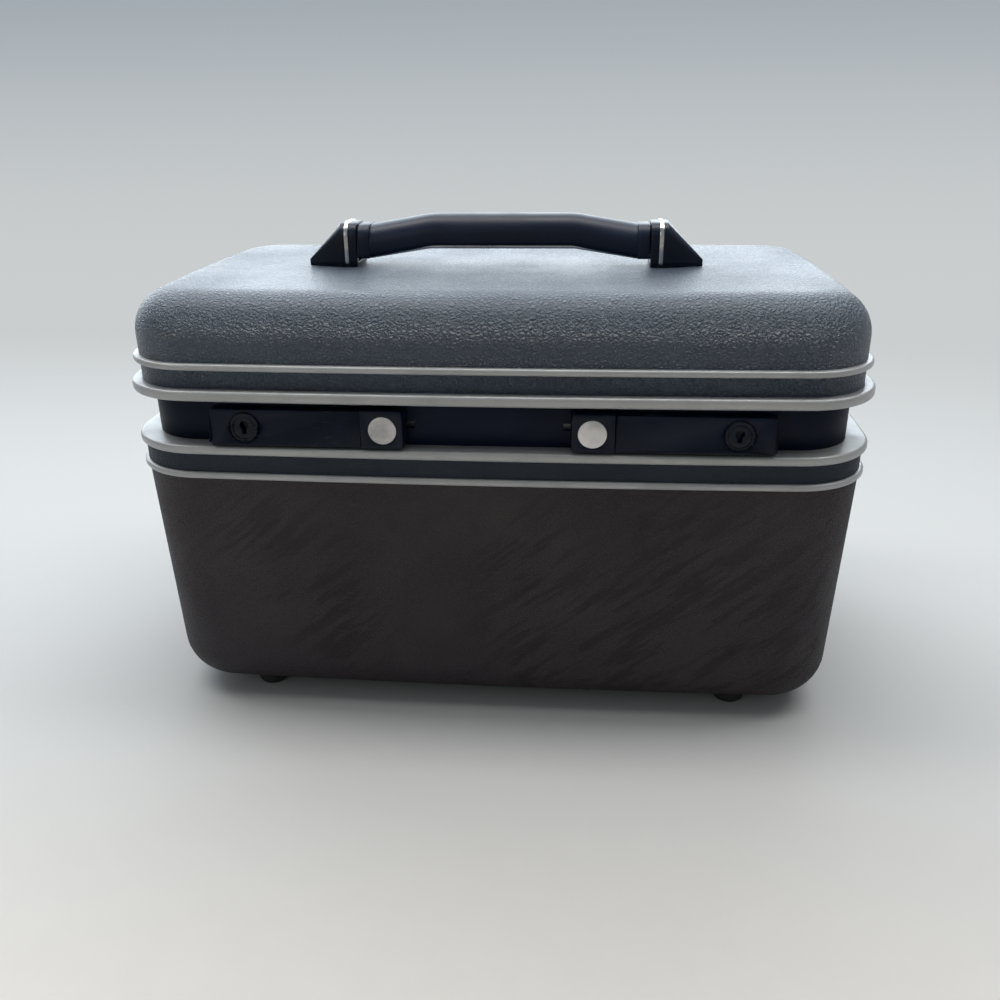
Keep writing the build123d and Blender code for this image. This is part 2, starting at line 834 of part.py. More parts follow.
def backing_plates():
    """Steel plates inside the lid under the handle's caps."""
    high = lid_top - shell_wall
    near = cap_screw_x - backing_length / 2
    plate = box(
        (near, -backing_width / 2, high - backing_plate), (near + backing_length, backing_width / 2, high)
    )
    for x, y in cap_screw_places():
        plate -= rod_z(x, y, high - spare, cap_screw_radius + screw_clearance, 2 * spare)
    return both_sides(plate)


def handle_screws():
    """Screws from inside the lid into the handle's caps."""
    head_high = lid_top - shell_wall - backing_plate
    screws = []
    for x, y in cap_screw_places():
        shank = rod_z(x, y, head_high, cap_screw_radius, cap_base + cap_screw_depth - head_high)
        head = rod_z(x, y, head_high - cap_screw_head, cap_screw_head_radius, cap_screw_head)
        screws += (shank + head).solids()
    return both_sides(Compound(children=screws))


def handle_profile(low_flat, drop, height, half_length):
    """Side view of the grip or the strap: level in the middle and falling towards both ends."""
    points = [
        (-half_length, low_flat - drop),
        (-grip_half_flat, low_flat),
        (grip_half_flat, low_flat),
        (half_length, low_flat - drop),
        (half_length, low_flat - drop + height),
        (grip_half_flat, low_flat + height),
        (-grip_half_flat, low_flat + height),
        (-half_length, low_flat - drop + height),
    ]
    return make_face(Polyline(*points, close=True))


def handle_bar(face, width):
    """Side view made as wide as the handle piece, centred on the middle plane."""
    plane = Plane(origin=(0, width / 2, 0), x_dir=(1, 0, 0), z_dir=(0, -1, 0))
    return extrude(plane * face, amount=width)


def bend_corners(face):
    """Corners of a handle side view where it changes slope."""
    return [v for v in face.vertices() if abs(abs(v.X) - grip_half_flat) < overlap]


def handle_strap():
    """Steel strap under the grip, with level ends that enter the caps."""
    face = handle_profile(strap_low, grip_drop, strap_thickness, grip_half_length)
    face = fillet(bend_corners(face), grip_bend_radius)
    strap = handle_bar(face, strap_width)
    for side in (-1, 1):
        near, far = sorted((side * grip_half_length, side * strap_end_x))
        strap += box(
            (near, -strap_width / 2, strap_end_low), (far, strap_width / 2, strap_end_low + strap_thickness)
        )
    pin_z = strap_end_low + strap_thickness / 2
    bore = rod_y(handle_pin_x, -strap_width, pin_z, handle_pin_radius, 2 * strap_width)
    return strap - bore - on_left(bore)


def handle_grip():
    """Soft black grip with rounded shoulders, moulded over the strap."""
    face = handle_profile(grip_low, grip_drop, grip_height, grip_half_length)
    face = fillet(bend_corners(face), grip_bend_radius)
    grip = handle_bar(face, grip_width)
    grip = fillet(grip_side_edges(grip, True), grip_top_round)
    grip = fillet(grip_side_edges(grip, False), grip_low_round)
    groove = handle_profile(strap_low, grip_drop, strap_thickness, grip_half_length)
    groove = fillet(bend_corners(groove), grip_bend_radius)
    return grip - handle_bar(groove, strap_width)


def grip_side_edges(grip, upper):
    """Edges along the grip's front and rear, either the upper or the lower ones."""
    chosen = []
    for edge in grip.edges():
        middle = edge.center()
        fall = grip_drop * max(abs(middle.X) - grip_half_flat, 0) / (grip_half_length - grip_half_flat)
        is_above = middle.Z > grip_low - fall + grip_height / 2
        on_side = abs(abs(middle.Y) - grip_width / 2) < fixed_gap
        if on_side and is_above == upper and abs(middle.X) < grip_half_length - overlap:
            chosen.append(edge)
    return chosen


def handle_collars():
    """Collars at the grip's ends, with the strap passing through."""
    low = grip_low - grip_drop - collar_proud
    high = grip_low - grip_drop + grip_height + collar_proud
    section = handle_section(grip_width + 2 * collar_proud, low, high, collar_round, collar_low_round)
    collar = extrude(section_plane(grip_half_length) * section, amount=collar_length)
    half = strap_width / 2
    collar -= box(
        (grip_half_length, -half, strap_end_low - spare),
        (collar_outer_x, half, strap_end_low + strap_thickness),
    )
    return both_sides(collar)


def handle_pins():
    """Cross pins through the strap's ends."""
    pin_z = strap_end_low + strap_thickness / 2
    return both_sides(rod_y(handle_pin_x, -handle_pin_half, pin_z, handle_pin_radius, 2 * handle_pin_half))


def latch_face(x_low, x_high):
    """Rounded block of the latch row between two places along X, drafted towards its front."""
    plane = Plane(origin=(0, latch_back, 0), x_dir=(1, 0, 0), z_dir=(0, -1, 0))
    face = RectangleRounded(x_high - x_low, latch_height, latch_corner)
    placed = plane * Pos((x_low + x_high) / 2, latch_middle) * face
    return extrude(placed, amount=latch_thickness, taper=latch_draft)


def finger_box():
    """Finger on the hasp's back that reaches through the band."""
    x = hasp_inner_x + finger_from_end
    z = hasp_axis_z - finger_drop
    return box(
        (x, latch_back - overlap, z - finger_height / 2),
        (x + finger_width, latch_back + finger_length, z + finger_height / 2),
    )


def knuckle_places():
    """The start along X of the hasp hinge's two knuckles."""
    first = hasp_inner_x + knuckle_from_end
    return [first, first + knuckle_spacing]


def hasp():
    """Hasp bar with its hinge notches, finger and lock hole."""
    bar = latch_face(hasp_inner_x - spare, hasp_outer_x)
    bar &= box((hasp_inner_x, latch_front - spare, latch_low), (hasp_outer_x, latch_back, latch_high))
    corner = Polyline(
        (latch_back, latch_high - hasp_chamfer),
        (latch_back, latch_high),
        (latch_back - hasp_chamfer, latch_high),
        close=True,
    )
    plane = Plane(origin=(hasp_inner_x, 0, 0), x_dir=(0, 1, 0), z_dir=(1, 0, 0))
    bar -= extrude(plane * make_face(corner), amount=hasp_length)
    notch_y = hasp_axis_y - knuckle_radius - notch_front
    notch_z = hasp_axis_z - knuckle_radius - notch_below
    for start in knuckle_places():
        bar -= box(
            (start - notch_side, notch_y, notch_z),
            (start + knuckle_length + notch_side, latch_back + overlap, latch_high + overlap),
        )
    bar -= rod_x(
        hasp_inner_x + bracket_from_end, hasp_axis_y, hasp_axis_z, hasp_pin_radius + running_gap, hasp_length
    )
    bar -= rod_y(lock_x, latch_front - overlap, latch_middle, bezel_radius, bezel_recess + overlap)
    bar -= rod_y(lock_x, latch_front, latch_middle, plug_radius + plug_fit, latch_thickness + overlap)
    return bar + finger_box()


def hasp_pin():
    """Hinge pin of one hasp."""
    start = hasp_inner_x + bracket_from_end + pin_end_gap
    return rod_x(start, hasp_axis_y, hasp_axis_z, hasp_pin_radius, hasp_outer_x - bracket_from_end - start)


def hasp_bracket():
    """Folded sheet under the lid's frame that carries the hasp's pin."""
    near = hasp_inner_x + bracket_from_end
    far = hasp_outer_x - bracket_from_end
    sheet_front = latch_back + bracket_back_gap
    sheet_back = sheet_front + bracket_sheet
    bracket = box((near, sheet_front, lid_base - bracket_drop), (far, sheet_back, lid_base))
    leaf_front = sheet_back - bracket_leaf_reach
    bracket += box((near, leaf_front, lid_base - bracket_leaf), (far, sheet_back, lid_base))
    for start in knuckle_places():
        bracket += rod_x(start, hasp_axis_y, hasp_axis_z, knuckle_radius, knuckle_length)
        bracket += box(
            (start, hasp_axis_y, hasp_axis_z - arm_half),
            (start + knuckle_length, sheet_front + overlap / 2, hasp_axis_z + arm_half),
        )
    return bracket - rod_x(near, hasp_axis_y, hasp_axis_z, hasp_pin_radius + fixed_gap, far - near)


def lock_bezel():
    """Ring round the key plug, seated in the hasp."""
    outer = rod_y(lock_x, latch_front - bezel_proud, latch_middle, bezel_radius, bezel_proud + bezel_recess)
    outer = fillet(outer.edges().group_by(Axis.Y)[0], bezel_proud * 0.8)
    inner = plug_radius + plug_fit
    return outer - rod_y(lock_x, latch_front - spare, latch_middle, inner, 2 * spare)


def key_plug():
    """Plug with a keyhole, turned by the key."""
    front = latch_front - bezel_proud / 2
    plug = rod_y(lock_x, front, latch_middle, plug_radius, latch_back + cam_gap - front)
    hole = rod_y(lock_x, front, latch_middle + keyhole_round / 2, keyhole_round, keyhole_depth)
    slot = box(
        (lock_x - keyhole_slot / 2, front, latch_middle - keyhole_drop),
        (lock_x + keyhole_slot / 2, front + keyhole_depth, latch_middle),
    )
    return plug - hole - slot


def lock_cam():
    """Cam on the back of the key plug."""
    low_y = latch_back + cam_gap
    hub = rod_y(lock_x, low_y, latch_middle, cam_half, cam_plate)
    arm = box(
        (lock_x - cam_reach, low_y, latch_middle - cam_half / 2),
        (lock_x, low_y + cam_plate, latch_middle + cam_half / 2),
    )
    return hub + arm


def release_button():
    """Square button beside the hasp, with the stem that passes through the band."""
    tile = latch_face(button_inner_x, button_outer_x + spare)
    tile &= box((button_inner_x, latch_front - spare, latch_low), (button_outer_x, latch_back, latch_high))
    tile -= rod_y(button_middle_x, latch_front - overlap, latch_middle, disc_radius, disc_depth + overlap)
    stem = box(
        (button_middle_x - stem_length / 2, latch_back - overlap, latch_middle - stem_height / 2),
        (button_middle_x + stem_length / 2, slide_front(), latch_middle + stem_height / 2),
    )
    bore_start = slide_front() - slide_screw_bore
    bore = rod_y(button_middle_x, bore_start, latch_middle, slide_screw_radius, slide_screw_bore)
    return tile + stem - bore


def button_disc():
    """Plain round inlay in the button's face."""
    front = latch_front - disc_proud
    disc = rod_y(button_middle_x, front, latch_middle, disc_radius, disc_depth + disc_proud)
    return chamfer(disc.edges().group_by(Axis.Y)[0], disc_proud)


def release_slide():
    """Slide plate behind the band, moved by the button, with a notch for its spring."""
    outer_x = hasp_inner_x + finger_from_end - slide_to_finger
    inner_x = outer_x - slide_length
    low = latch_middle - slide_height / 2
    plate = box((inner_x, slide_front(), low), (outer_x, slide_front() + slide_plate, low + slide_height))
    notch_z = latch_middle - spring_notch_drop
    plate -= box(
        (inner_x, slide_front(), notch_z - spring_notch_height / 2),
        (inner_x + spring_notch_length, slide_front() + slide_plate, notch_z + spring_notch_height / 2),
    )
    return plate - rod_y(button_middle_x, slide_front(), latch_middle, slide_screw_radius, slide_plate)


def release_screw():
    """Screw that joins the slide plate to the button's stem."""
    start = slide_front() - slide_screw_reach
    shank = rod_y(button_middle_x, start, latch_middle, slide_screw_radius, slide_screw_reach + slide_plate)
    head_start = slide_front() + slide_plate
    return shank + rod_y(button_middle_x, head_start, latch_middle, 2 * slide_screw_radius, small_head)


def spring_line():
    """The spring's axis: its place across the channel and its height."""
    return slide_front() + spring_setback, latch_middle - spring_notch_drop


def release_spring():
    """Coil spring between the keeper's tab and the slide plate."""
    y, z = spring_line()
    start = keeper_tab_x + keeper_tab + spring_wire + fixed_gap
    slide_inner_x = hasp_inner_x + finger_from_end - slide_to_finger - slide_length
    end = slide_inner_x + spring_notch_length - spring_wire - fixed_gap
    coil = Helix(pitch=spring_pitch, height=end - start, radius=spring_radius)
    path = Pos(start, y, z) * Rot(0, 90, 0) * coil
    section = Plane(origin=path @ 0, z_dir=path % 0) * Circle(spring_wire)
    return sweep(section, path=path)


def keeper():
    """Plate behind the slide, screwed to the band's bosses, with a tab for the spring."""
    low = latch_middle - keeper_height / 2
    front = keeper_front()
    outer_x = keeper_inner_x + keeper_length
    plate = box((keeper_inner_x, front, low), (outer_x, front + keeper_plate, low + keeper_height))
    y, z = spring_line()
    plate += box(
        (keeper_tab_x, y - spring_radius, z - spring_notch_height / 2),
        (keeper_tab_x + keeper_tab, front + keeper_plate, z + spring_notch_height / 2),
    )
    for x in keeper_boss_places():
        plate -= rod_y(x, front - overlap, latch_middle, small_screw_radius, keeper_plate + 2 * overlap)
    return plate


def keeper_screws():
    """Screws that hold both keeper plates."""
    front = keeper_front()
    reach = 2 * small_head
    screws = []
    for x in keeper_boss_places():
        shank = rod_y(x, front - reach, latch_middle, small_screw_radius, keeper_plate + reach)
        head = rod_y(x, front + keeper_plate, latch_middle, small_head_radius, small_head)
        screws += (shank + head).solids()
    return both_sides(Compound(children=screws))


def tray():
    """Lift-out tray with four compartments and a finger opening in each end."""
    low = ledge_level + ledge_thickness + tray_seat_gap
    high = low + tray_height
    outer = tub(tray_inset, low, high, tray_draft, tray_edge_radius)
    inner = tub(tray_inset + tray_wall, low + tray_wall, high, tray_draft, tray_edge_radius - tray_wall)
    reach = case_width / 2 - tray_inset - tray_wall
    divider_high = high - tray_divider_drop
    half = tray_wall / 2
    dividers = box((-reach, tray_divider_y - half, low), (reach, tray_divider_y + half, divider_high))
    for x in (-tray_divider_x, tray_divider_x):
        dividers += box((x - half, -case_depth / 2, low), (x + half, tray_divider_y, divider_high))
    middle = tub(tray_inset + half, low + half, high, tray_draft, tray_edge_radius - half)
    grip_high = high - tray_grip_drop
    grip_half = tray_grip_width / 2
    opening = box(
        (reach - 2 * spare, -grip_half, grip_high - tray_grip_height),
        (reach + 2 * spare, grip_half, grip_high),
    )
    return outer - inner - opening - on_left(opening) + (dividers & middle)


def write(name, shape):
    """Writes one node's STEP file."""
    export_step(Compound(children=shape.solids()), f"parts/{name}.step")


def pair(name, shape):
    """Writes a piece for the right side and its mirror image for the left side."""
    write(f"right_{name}", shape)
    write(f"left_{name}", on_left(shape))


def main():
    os.makedirs("parts", exist_ok=True)
    write("body_shell", body_shell())
    write("body_trim", body_trim())
    write("body_frame", body_frame())
    write("latch_band", latch_band())
    write("body_lining", body_lining())
    write("tray_ledges", tray_ledges())
    write("feet", feet())
    write("foot_rivets", foot_rivets())
    write("hinge_body_leaves", hinge_body_leaves())
    write("hinge_pins", hinge_pins())
    write("hinge_body_rivets", hinge_body_rivets())
    write("hinge_lid_leaves", hinge_lid_leaves())
    write("hinge_lid_rivets", hinge_lid_rivets())
    write("lid_shell", lid_shell())
    write("lid_frame", lid_frame())
    write("lid_trim", lid_trim())
    write("lid_lining", lid_lining())
    write("mirror_glass", mirror_glass())
    write("mirror_frame", mirror_frame())
    write("mirror_screws", mirror_screws())
    write("backing_plates", backing_plates())
    write("handle_screws", handle_screws())
    write("handle_strap", handle_strap())
    write("handle_grip", handle_grip())
    write("handle_collars", handle_collars())
    write("handle_pins", handle_pins())
    pair("handle_cap", handle_cap())
    pair("handle_trim_ring", handle_trim_ring())
    pair("handle_holder", handle_holder())
    pair("cap_seat_pad", cap_seat_pad())
    pair("hasp", hasp())
    pair("hasp_pin", hasp_pin())
    pair("hasp_bracket", hasp_bracket())
    pair("lock_bezel", lock_bezel())
    pair("key_plug", key_plug())
    pair("lock_cam", lock_cam())
    pair("release_button", release_button())
    pair("button_disc", button_disc())
    pair("release_slide", release_slide())
    pair("release_screw", release_screw())
    pair("release_spring", release_spring())
    pair("keeper", keeper())
    write("keeper_screws", keeper_screws())
    write("tray", tray())


main()
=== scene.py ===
"""Dresses the cosmetic train case: smooth meshes, finishes, floor, light and the photograph's camera."""
import logging
import math
from collections.abc import Callable
from dataclasses import dataclass, field
from enum import Enum

import bpy
from bpy.types import Material, Node, NodeSocket, NodeTree, Object
from mathutils import Matrix, Vector


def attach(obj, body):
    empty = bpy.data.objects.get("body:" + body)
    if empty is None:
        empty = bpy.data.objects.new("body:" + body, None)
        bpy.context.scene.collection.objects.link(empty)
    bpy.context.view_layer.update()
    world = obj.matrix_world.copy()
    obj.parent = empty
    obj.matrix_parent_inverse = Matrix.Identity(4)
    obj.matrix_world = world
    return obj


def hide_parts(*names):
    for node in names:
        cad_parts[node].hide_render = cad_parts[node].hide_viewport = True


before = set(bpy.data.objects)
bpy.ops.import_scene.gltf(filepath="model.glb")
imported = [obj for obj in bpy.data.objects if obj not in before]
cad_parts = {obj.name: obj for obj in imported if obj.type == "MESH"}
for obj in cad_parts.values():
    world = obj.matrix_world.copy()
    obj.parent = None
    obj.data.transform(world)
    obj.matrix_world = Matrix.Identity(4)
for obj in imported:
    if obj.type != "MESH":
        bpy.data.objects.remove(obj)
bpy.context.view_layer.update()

MM = 0.001
LEVEL_GAP = 0.002
log = logging.getLogger("train_case")


class Side(Enum):
    """The two halves of the case, as seen from its front."""

    LEFT = "left"
    RIGHT = "right"


class Metal(Enum):
    """The bare metals: colour, roughness and how strong the brushing is."""

    STEEL = ((0.50, 0.50, 0.51), 0.34, 0.5)
    ZINC = ((0.60, 0.60, 0.57), 0.42, 0.3)
    CHROME = ((0.72, 0.73, 0.75), 0.14, 0.1)
    DISC = ((0.56, 0.56, 0.57), 0.36, 0.7)


def deselect() -> None:
    """Leaves edit mode and deselects every object."""
    if bpy.context.object and bpy.context.object.mode != "OBJECT":
        bpy.ops.object.mode_set(mode="OBJECT")
    bpy.ops.object.select_all(action="DESELECT")


def take(piece: Object) -> None:
    """Makes a piece the only selected and the active object.

    Args:
        piece: The object to work on.
    """
    deselect()
    piece.select_set(True)
    bpy.context.view_layer.objects.active = piece


def edit(piece: Object) -> None:
    """Opens a piece in edit mode with everything on it selected.

    Args:
        piece: The object to open.
    """
    take(piece)
    bpy.ops.object.mode_set(mode="EDIT")
    bpy.ops.mesh.select_all(action="SELECT")


def smooth(piece: Object, degrees: float = 35.0) -> None:
    """Shades a piece smooth, with sharp edges above an angle.

    Args:
        piece: The object to shade.
        degrees: The angle between faces above which an edge stays sharp.
    """
    take(piece)
    bpy.ops.object.shade_smooth_by_angle(angle=math.radians(degrees))


def soften(piece: Object, width: float, segments: int = 2, degrees: float = 30.0) -> None:
    """Rounds the sharp edges of a piece with an applied bevel.

    Args:
        piece: The object whose edges are rounded.
        width: The bevel's width in millimetres.
        segments: How many faces go across the bevel.
        degrees: The angle above which an edge is rounded.
    """
    take(piece)
    bevel = piece.modifiers.new("soft_edges", "BEVEL")
    bevel.width = width * MM
    bevel.segments = segments
    bevel.limit_method = "ANGLE"
    bevel.angle_limit = math.radians(degrees)
    bpy.ops.object.modifier_apply(modifier=bevel.name)


def settle(piece: Object, body: str, slot: str, finish: Material, *nodes: str) -> None:
    """Gives a finished piece its material and body, and hides the CAD nodes that it stands for.

    Args:
        piece: The finished object.
        body: The CAD body that it moves with.
        slot: The record's material slot; not used.
        finish: The material on it.
        nodes: The CAD nodes that it replaces.
    """
    piece.data.materials.clear()
    piece.data.materials.append(finish)
    if nodes:
        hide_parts(*nodes)
    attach(piece, body)
    log.info("%s rides on %s", piece.name, body)


def select(piece: Object, chosen: Callable[[Vector], bool]) -> None:
    """Opens a piece in edit mode with some of its corners selected.

    Args:
        piece: The object to open.
        chosen: Tells from a corner's place in millimetres whether it is selected.
    """
    edit(piece)
    bpy.ops.mesh.select_mode(type="VERT")
    bpy.ops.mesh.select_all(action="DESELECT")
    deselect()
    for corner in piece.data.vertices:
        corner.select = chosen(corner.co / MM)
    take(piece)
    bpy.ops.object.mode_set(mode="EDIT")


def shift(piece: Object, chosen: Callable[[Vector], bool], move: tuple[float, float, float]) -> None:
    """Moves some corners of a piece.

    Args:
        piece: The object to change.
        chosen: Tells from a corner's place in millimetres whether it moves.
        move: How far they move, in millimetres.
    """
    select(piece, chosen)
    bpy.ops.transform.translate(value=Vector(move) * MM)
    deselect()


def machined(
    node: str, width: float = 0.25,
    moves: tuple[tuple[Callable[[Vector], bool], tuple[float, float, float]], ...] = (),
    slant: tuple[Callable[[Vector], bool], float, float] | None = None,
) -> Object:
    """Makes a clean copy of a CAD node with merged faces and rounded edges.

    Args:
        node: The CAD node to copy.
        width: The width of the rounding in millimetres, or 0 for none.
        moves: Which corners move before the rounding, and how far.
        slant: Which corners lean forward, from what height, and by how much for each millimetre below it.

    Returns:
        The new object.
    """
    piece = bpy.data.objects.new(f"{node}_finished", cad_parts[node].data.copy())
    bpy.context.scene.collection.objects.link(piece)
    take(piece)
    bpy.ops.mesh.customdata_custom_splitnormals_clear()
    edit(piece)
    bpy.ops.mesh.remove_doubles(threshold=0.002 * MM)
    bpy.ops.mesh.dissolve_limited(angle_limit=math.radians(0.4))
    deselect()
    for chosen, move in moves:
        shift(piece, chosen, move)
    if slant:
        leaning, top, rate = slant
        # Known fault: levels nearer to each other than LEVEL_GAP overlap, so some corners move two to four times.
        for level in sorted({round(v.co.z / MM, 3) for v in piece.data.vertices if leaning(v.co / MM)}):
            shift(piece, lambda place: leaning(place) and abs(place.z - level) < LEVEL_GAP, (0, (level - top) * rate, 0))
    if width:
        soften(piece, width)
    smooth(piece)
    return piece


def finished(node: str, width: float, body: str, slot: str, finish: Material, **shape: object) -> None:
    """Copies a CAD node, rounds the copy's edges and settles it in the node's place.

    Args:
        node: The CAD node.
        width: The width of the rounding in millimetres.
        body: The CAD body that the copy moves with.
        slot: The record's material slot.
        finish: The material on it.
        shape: The moves and the slant of its corners, as machined takes them.
    """
    settle(machined(node, width, **shape), body, slot, finish, node)


class Tree:
    """A material's or group's node tree, with short ways to add and join nodes."""

    def __init__(self, tree: NodeTree) -> None:
        """Keeps the tree that is worked on."""
        self.tree = tree

    def add(self, kind: str, inputs: dict | None = None, **settings: object) -> Node:
        """Adds a node.

        Args:
            kind: The node's type without its ShaderNode prefix.
            inputs: What goes into each named or numbered socket: a value, or another node's output.
            settings: The node's own settings.

        Returns:
            The new node.
        """
        node = self.tree.nodes.new("ShaderNode" + kind)
        for key, value in settings.items():
            setattr(node, key, value)
        for key, value in (inputs or {}).items():
            if isinstance(value, NodeSocket):
                self.tree.links.new(value, node.inputs[key])
            else:
                node.inputs[key].default_value = value
        return node

    def math(self, operation: str, a: object, b: object = 0.0, clamp: bool = False) -> NodeSocket:
        """Adds a Math node.

        Args:
            operation: The operation's name.
            a: The first value or output.
            b: The second value or output.
            clamp: Whether the result is kept between 0 and 1.

        Returns:
            The node's output.
        """
        return self.add("Math", {0: a, 1: b}, operation=operation, use_clamp=clamp).outputs[0]

    def blend(self, factor: object, a: object, b: object) -> NodeSocket:
        """Mixes two colours.

        Args:
            factor: How much of the second colour shows.
            a: The first colour or output.
            b: The second colour or output.

        Returns:
            The mixed colour.
        """
        return self.add("Mix", {0: factor, 6: a, 7: b}, data_type="RGBA").outputs[2]

    def ramp(self, value: object, low: float, high: float, bottom: float = 0.0, top: float = 1.0) -> NodeSocket:
        """Turns a span of a value smoothly into another span.

        Args:
            value: The value or output.
            low: Where the span starts.
            high: Where it ends.
            bottom: What the start becomes.
            top: What the end becomes.

        Returns:
            The new value.
        """
        node = self.add("MapRange", {0: value, 1: low, 2: high, 3: bottom, 4: top}, interpolation_type="SMOOTHSTEP")
        return node.outputs[0]

    def place(
        self, scale: tuple[float, float, float] = (1, 1, 1), turn: tuple[float, float, float] = (0, 0, 0)
    ) -> NodeSocket:
        """Gives the piece's own coordinates, first turned and then scaled.

        Args:
            scale: The scale along each turned axis.
            turn: The turn about each axis in degrees.

        Returns:
            The coordinates.
        """
        coords = self.add("TexCoord").outputs["Object"]
        angles = tuple(math.radians(a) for a in turn)
        turned = self.add("Mapping", {"Vector": coords, "Rotation": angles}).outputs[0]
        return self.add("VectorMath", {0: turned, 1: scale}, operation="MULTIPLY").outputs[0]

    def noise(self, where: NodeSocket, scale: float, detail: float = 3.0, roughness: float = 0.5) -> NodeSocket:
        """Adds a noise pattern.

        Args:
            where: The coordinates.
            scale: Patches per metre.
            detail: How many finer layers it has.
            roughness: How strong the finer layers are.

        Returns:
            The noise between 0 and 1.
        """
        inputs = {"Vector": where, "Scale": scale, "Detail": detail, "Roughness": roughness}
        return self.add("TexNoise", inputs).outputs[0]


class Effect:
    """A shader node group: built once, then placed in each material with its own values."""

    def __init__(self, name: str, inputs: dict[str, float], outputs: tuple[str, ...]) -> None:
        """Makes the group with its named sockets.

        Args:
            name: The group's name.
            inputs: Each input's name and usual value.
            outputs: The outputs' names.
        """
        self.group = bpy.data.node_groups.new(name, "ShaderNodeTree")
        for key, value in inputs.items():
            socket = self.group.interface.new_socket(key, in_out="INPUT", socket_type="NodeSocketFloat")
            socket.default_value = value
        for key in outputs:
            self.group.interface.new_socket(key, in_out="OUTPUT", socket_type="NodeSocketFloat")
        self.tree = Tree(self.group)
        self.given = self.group.nodes.new("NodeGroupInput").outputs
        self.result = self.group.nodes.new("NodeGroupOutput").inputs

    def end(self, **values: NodeSocket) -> None:
        """Joins what the group has worked out to its outputs."""
        for key, value in values.items():
            self.group.links.new(value, self.result[key])

    def use(self, tree: Tree, **values: float) -> Node:
        """Places the group in a material.

        Args:
            tree: The material's tree.
            values: The group's input values there.

        Returns:
            The group's node.
        """
        node = tree.tree.nodes.new("ShaderNodeGroup")
        node.node_tree = self.group
        for key, value in values.items():
            node.inputs[key].default_value = value
        return node


def leather_grain() -> Effect:
    """Builds the pebbled grain of the moulded shells.

    Returns:
        The group, with the grain's Height and the mask of its Creases.
    """
    effect = Effect("leather_grain", {"Cell": 0.0024}, ("Height", "Creases"))
    t = effect.tree
    coords = t.add("TexCoord").outputs["Object"]
    turns = t.math("DIVIDE", 1.0, effect.given["Cell"])
    cells = t.add("VectorMath", {0: coords, 3: turns}, operation="SCALE").outputs[0]
    drift = t.add("TexNoise", {"Vector": cells, "Scale": 0.45, "Detail": 2.0}).outputs[1]
    bent = t.add("VectorMath", {0: drift, 1: (1.1, 1.1, 1.1), 2: cells}, operation="MULTIPLY_ADD").outputs[0]
    large = t.add("TexVoronoi", {"Vector": bent, "Scale": 1.0}, feature="DISTANCE_TO_EDGE").outputs[0]
    small = t.add("TexVoronoi", {"Vector": bent, "Scale": 2.3}, feature="DISTANCE_TO_EDGE").outputs[0]
    fine = t.add("TexNoise", {"Vector": cells, "Scale": 3.1, "Detail": 3.0}).outputs[0]
    pebbles = t.ramp(large, 0.0, 0.42)
    wrinkles = t.ramp(small, 0.0, 0.32)
    both = t.math("ADD", t.math("MULTIPLY", pebbles, 0.6), t.math("MULTIPLY", wrinkles, 0.25))
    height = t.math("ADD", both, t.math("MULTIPLY", fine, 0.35))
    effect.end(Height=height, Creases=t.ramp(both, 0.05, 0.45, 1.0, 0.0))
    return effect


def handling_wear() -> Effect:
    """Builds scuffs and specks where a finish has been handled.

    Returns:
        The group, with the Mask of the scuffs and the Rubbed patches where gloss has changed.
    """
    effect = Effect("handling_wear", {"Scale": 300.0, "Amount": 0.3}, ("Mask", "Rubbed"))
    t = effect.tree
    coords = t.add("TexCoord").outputs["Object"]
    stretched = t.add("Mapping", {"Vector": coords, "Scale": (0.4, 1.0, 1.6), "Rotation": (0.2, 0.3, 0.1)}).outputs[0]
    specks = t.add("TexNoise", {"Vector": stretched, "Scale": effect.given["Scale"], "Detail": 4.0}).outputs[0]
    patches = t.add("TexNoise", {"Vector": coords, "Scale": 22.0, "Detail": 3.0}).outputs[0]
    where = t.ramp(patches, 0.48, 0.66)
    mask = t.math("MULTIPLY", t.ramp(specks, 0.60, 0.70), where)
    effect.end(Mask=t.math("MULTIPLY", mask, effect.given["Amount"], clamp=True), Rubbed=patches)
    return effect


def brushing() -> Effect:
    """Builds the fine drawn lines of worked metal.

    Returns:
        The group, with the lines' Height and the slow Tarnish over them.
    """
    effect = Effect("brushing", {"Lines": 900.0}, ("Height", "Tarnish"))
    t = effect.tree
    along = t.place((0.03, 0.03, 1.0))
    lines = t.add("TexNoise", {"Vector": along, "Scale": effect.given["Lines"], "Detail": 3.0}).outputs[0]
    effect.end(Height=lines, Tarnish=t.noise(t.place(), 38.0, 5.0, 0.6))
    return effect


def woven() -> Effect:
    """Builds a plain weave.

    Returns:
        The group, with the threads' Height and their Shade.
    """
    effect = Effect("weave", {"Threads": 900.0}, ("Height", "Shade"))
    t = effect.tree
    parts = t.add("SeparateXYZ", {0: t.place()}).outputs
    across = t.math("ADD", parts[0], parts[1])
    up = t.math("ADD", parts[2], t.math("SUBTRACT", parts[0], parts[1]))
    warp = t.math("SINE", t.math("MULTIPLY", across, effect.given["Threads"]))
    weft = t.math("SINE", t.math("MULTIPLY", up, effect.given["Threads"]))
    knots = t.math("MULTIPLY", warp, weft)
    height = t.ramp(knots, -1.0, 1.0)
    shade = t.math("MULTIPLY", t.noise(t.place(), 240.0), height)
    effect.end(Height=height, Shade=shade)
    return effect


class Effects:
    """The shader groups that several materials share."""

    def __init__(self) -> None:
        """Builds every group once."""
        self.grain = leather_grain()
        self.wear = handling_wear()
        self.brushed = brushing()
        self.weave = woven()


def new_material(name: str) -> tuple[Material, Tree, Node]:
    """Starts a material with one Principled shader.

    Args:
        name: The material's name.

    Returns:
        The material, its tree and the shader.
    """
    material = bpy.data.materials.new(name)
    material.use_nodes = True
    return material, Tree(material.node_tree), material.node_tree.nodes["Principled BSDF"]


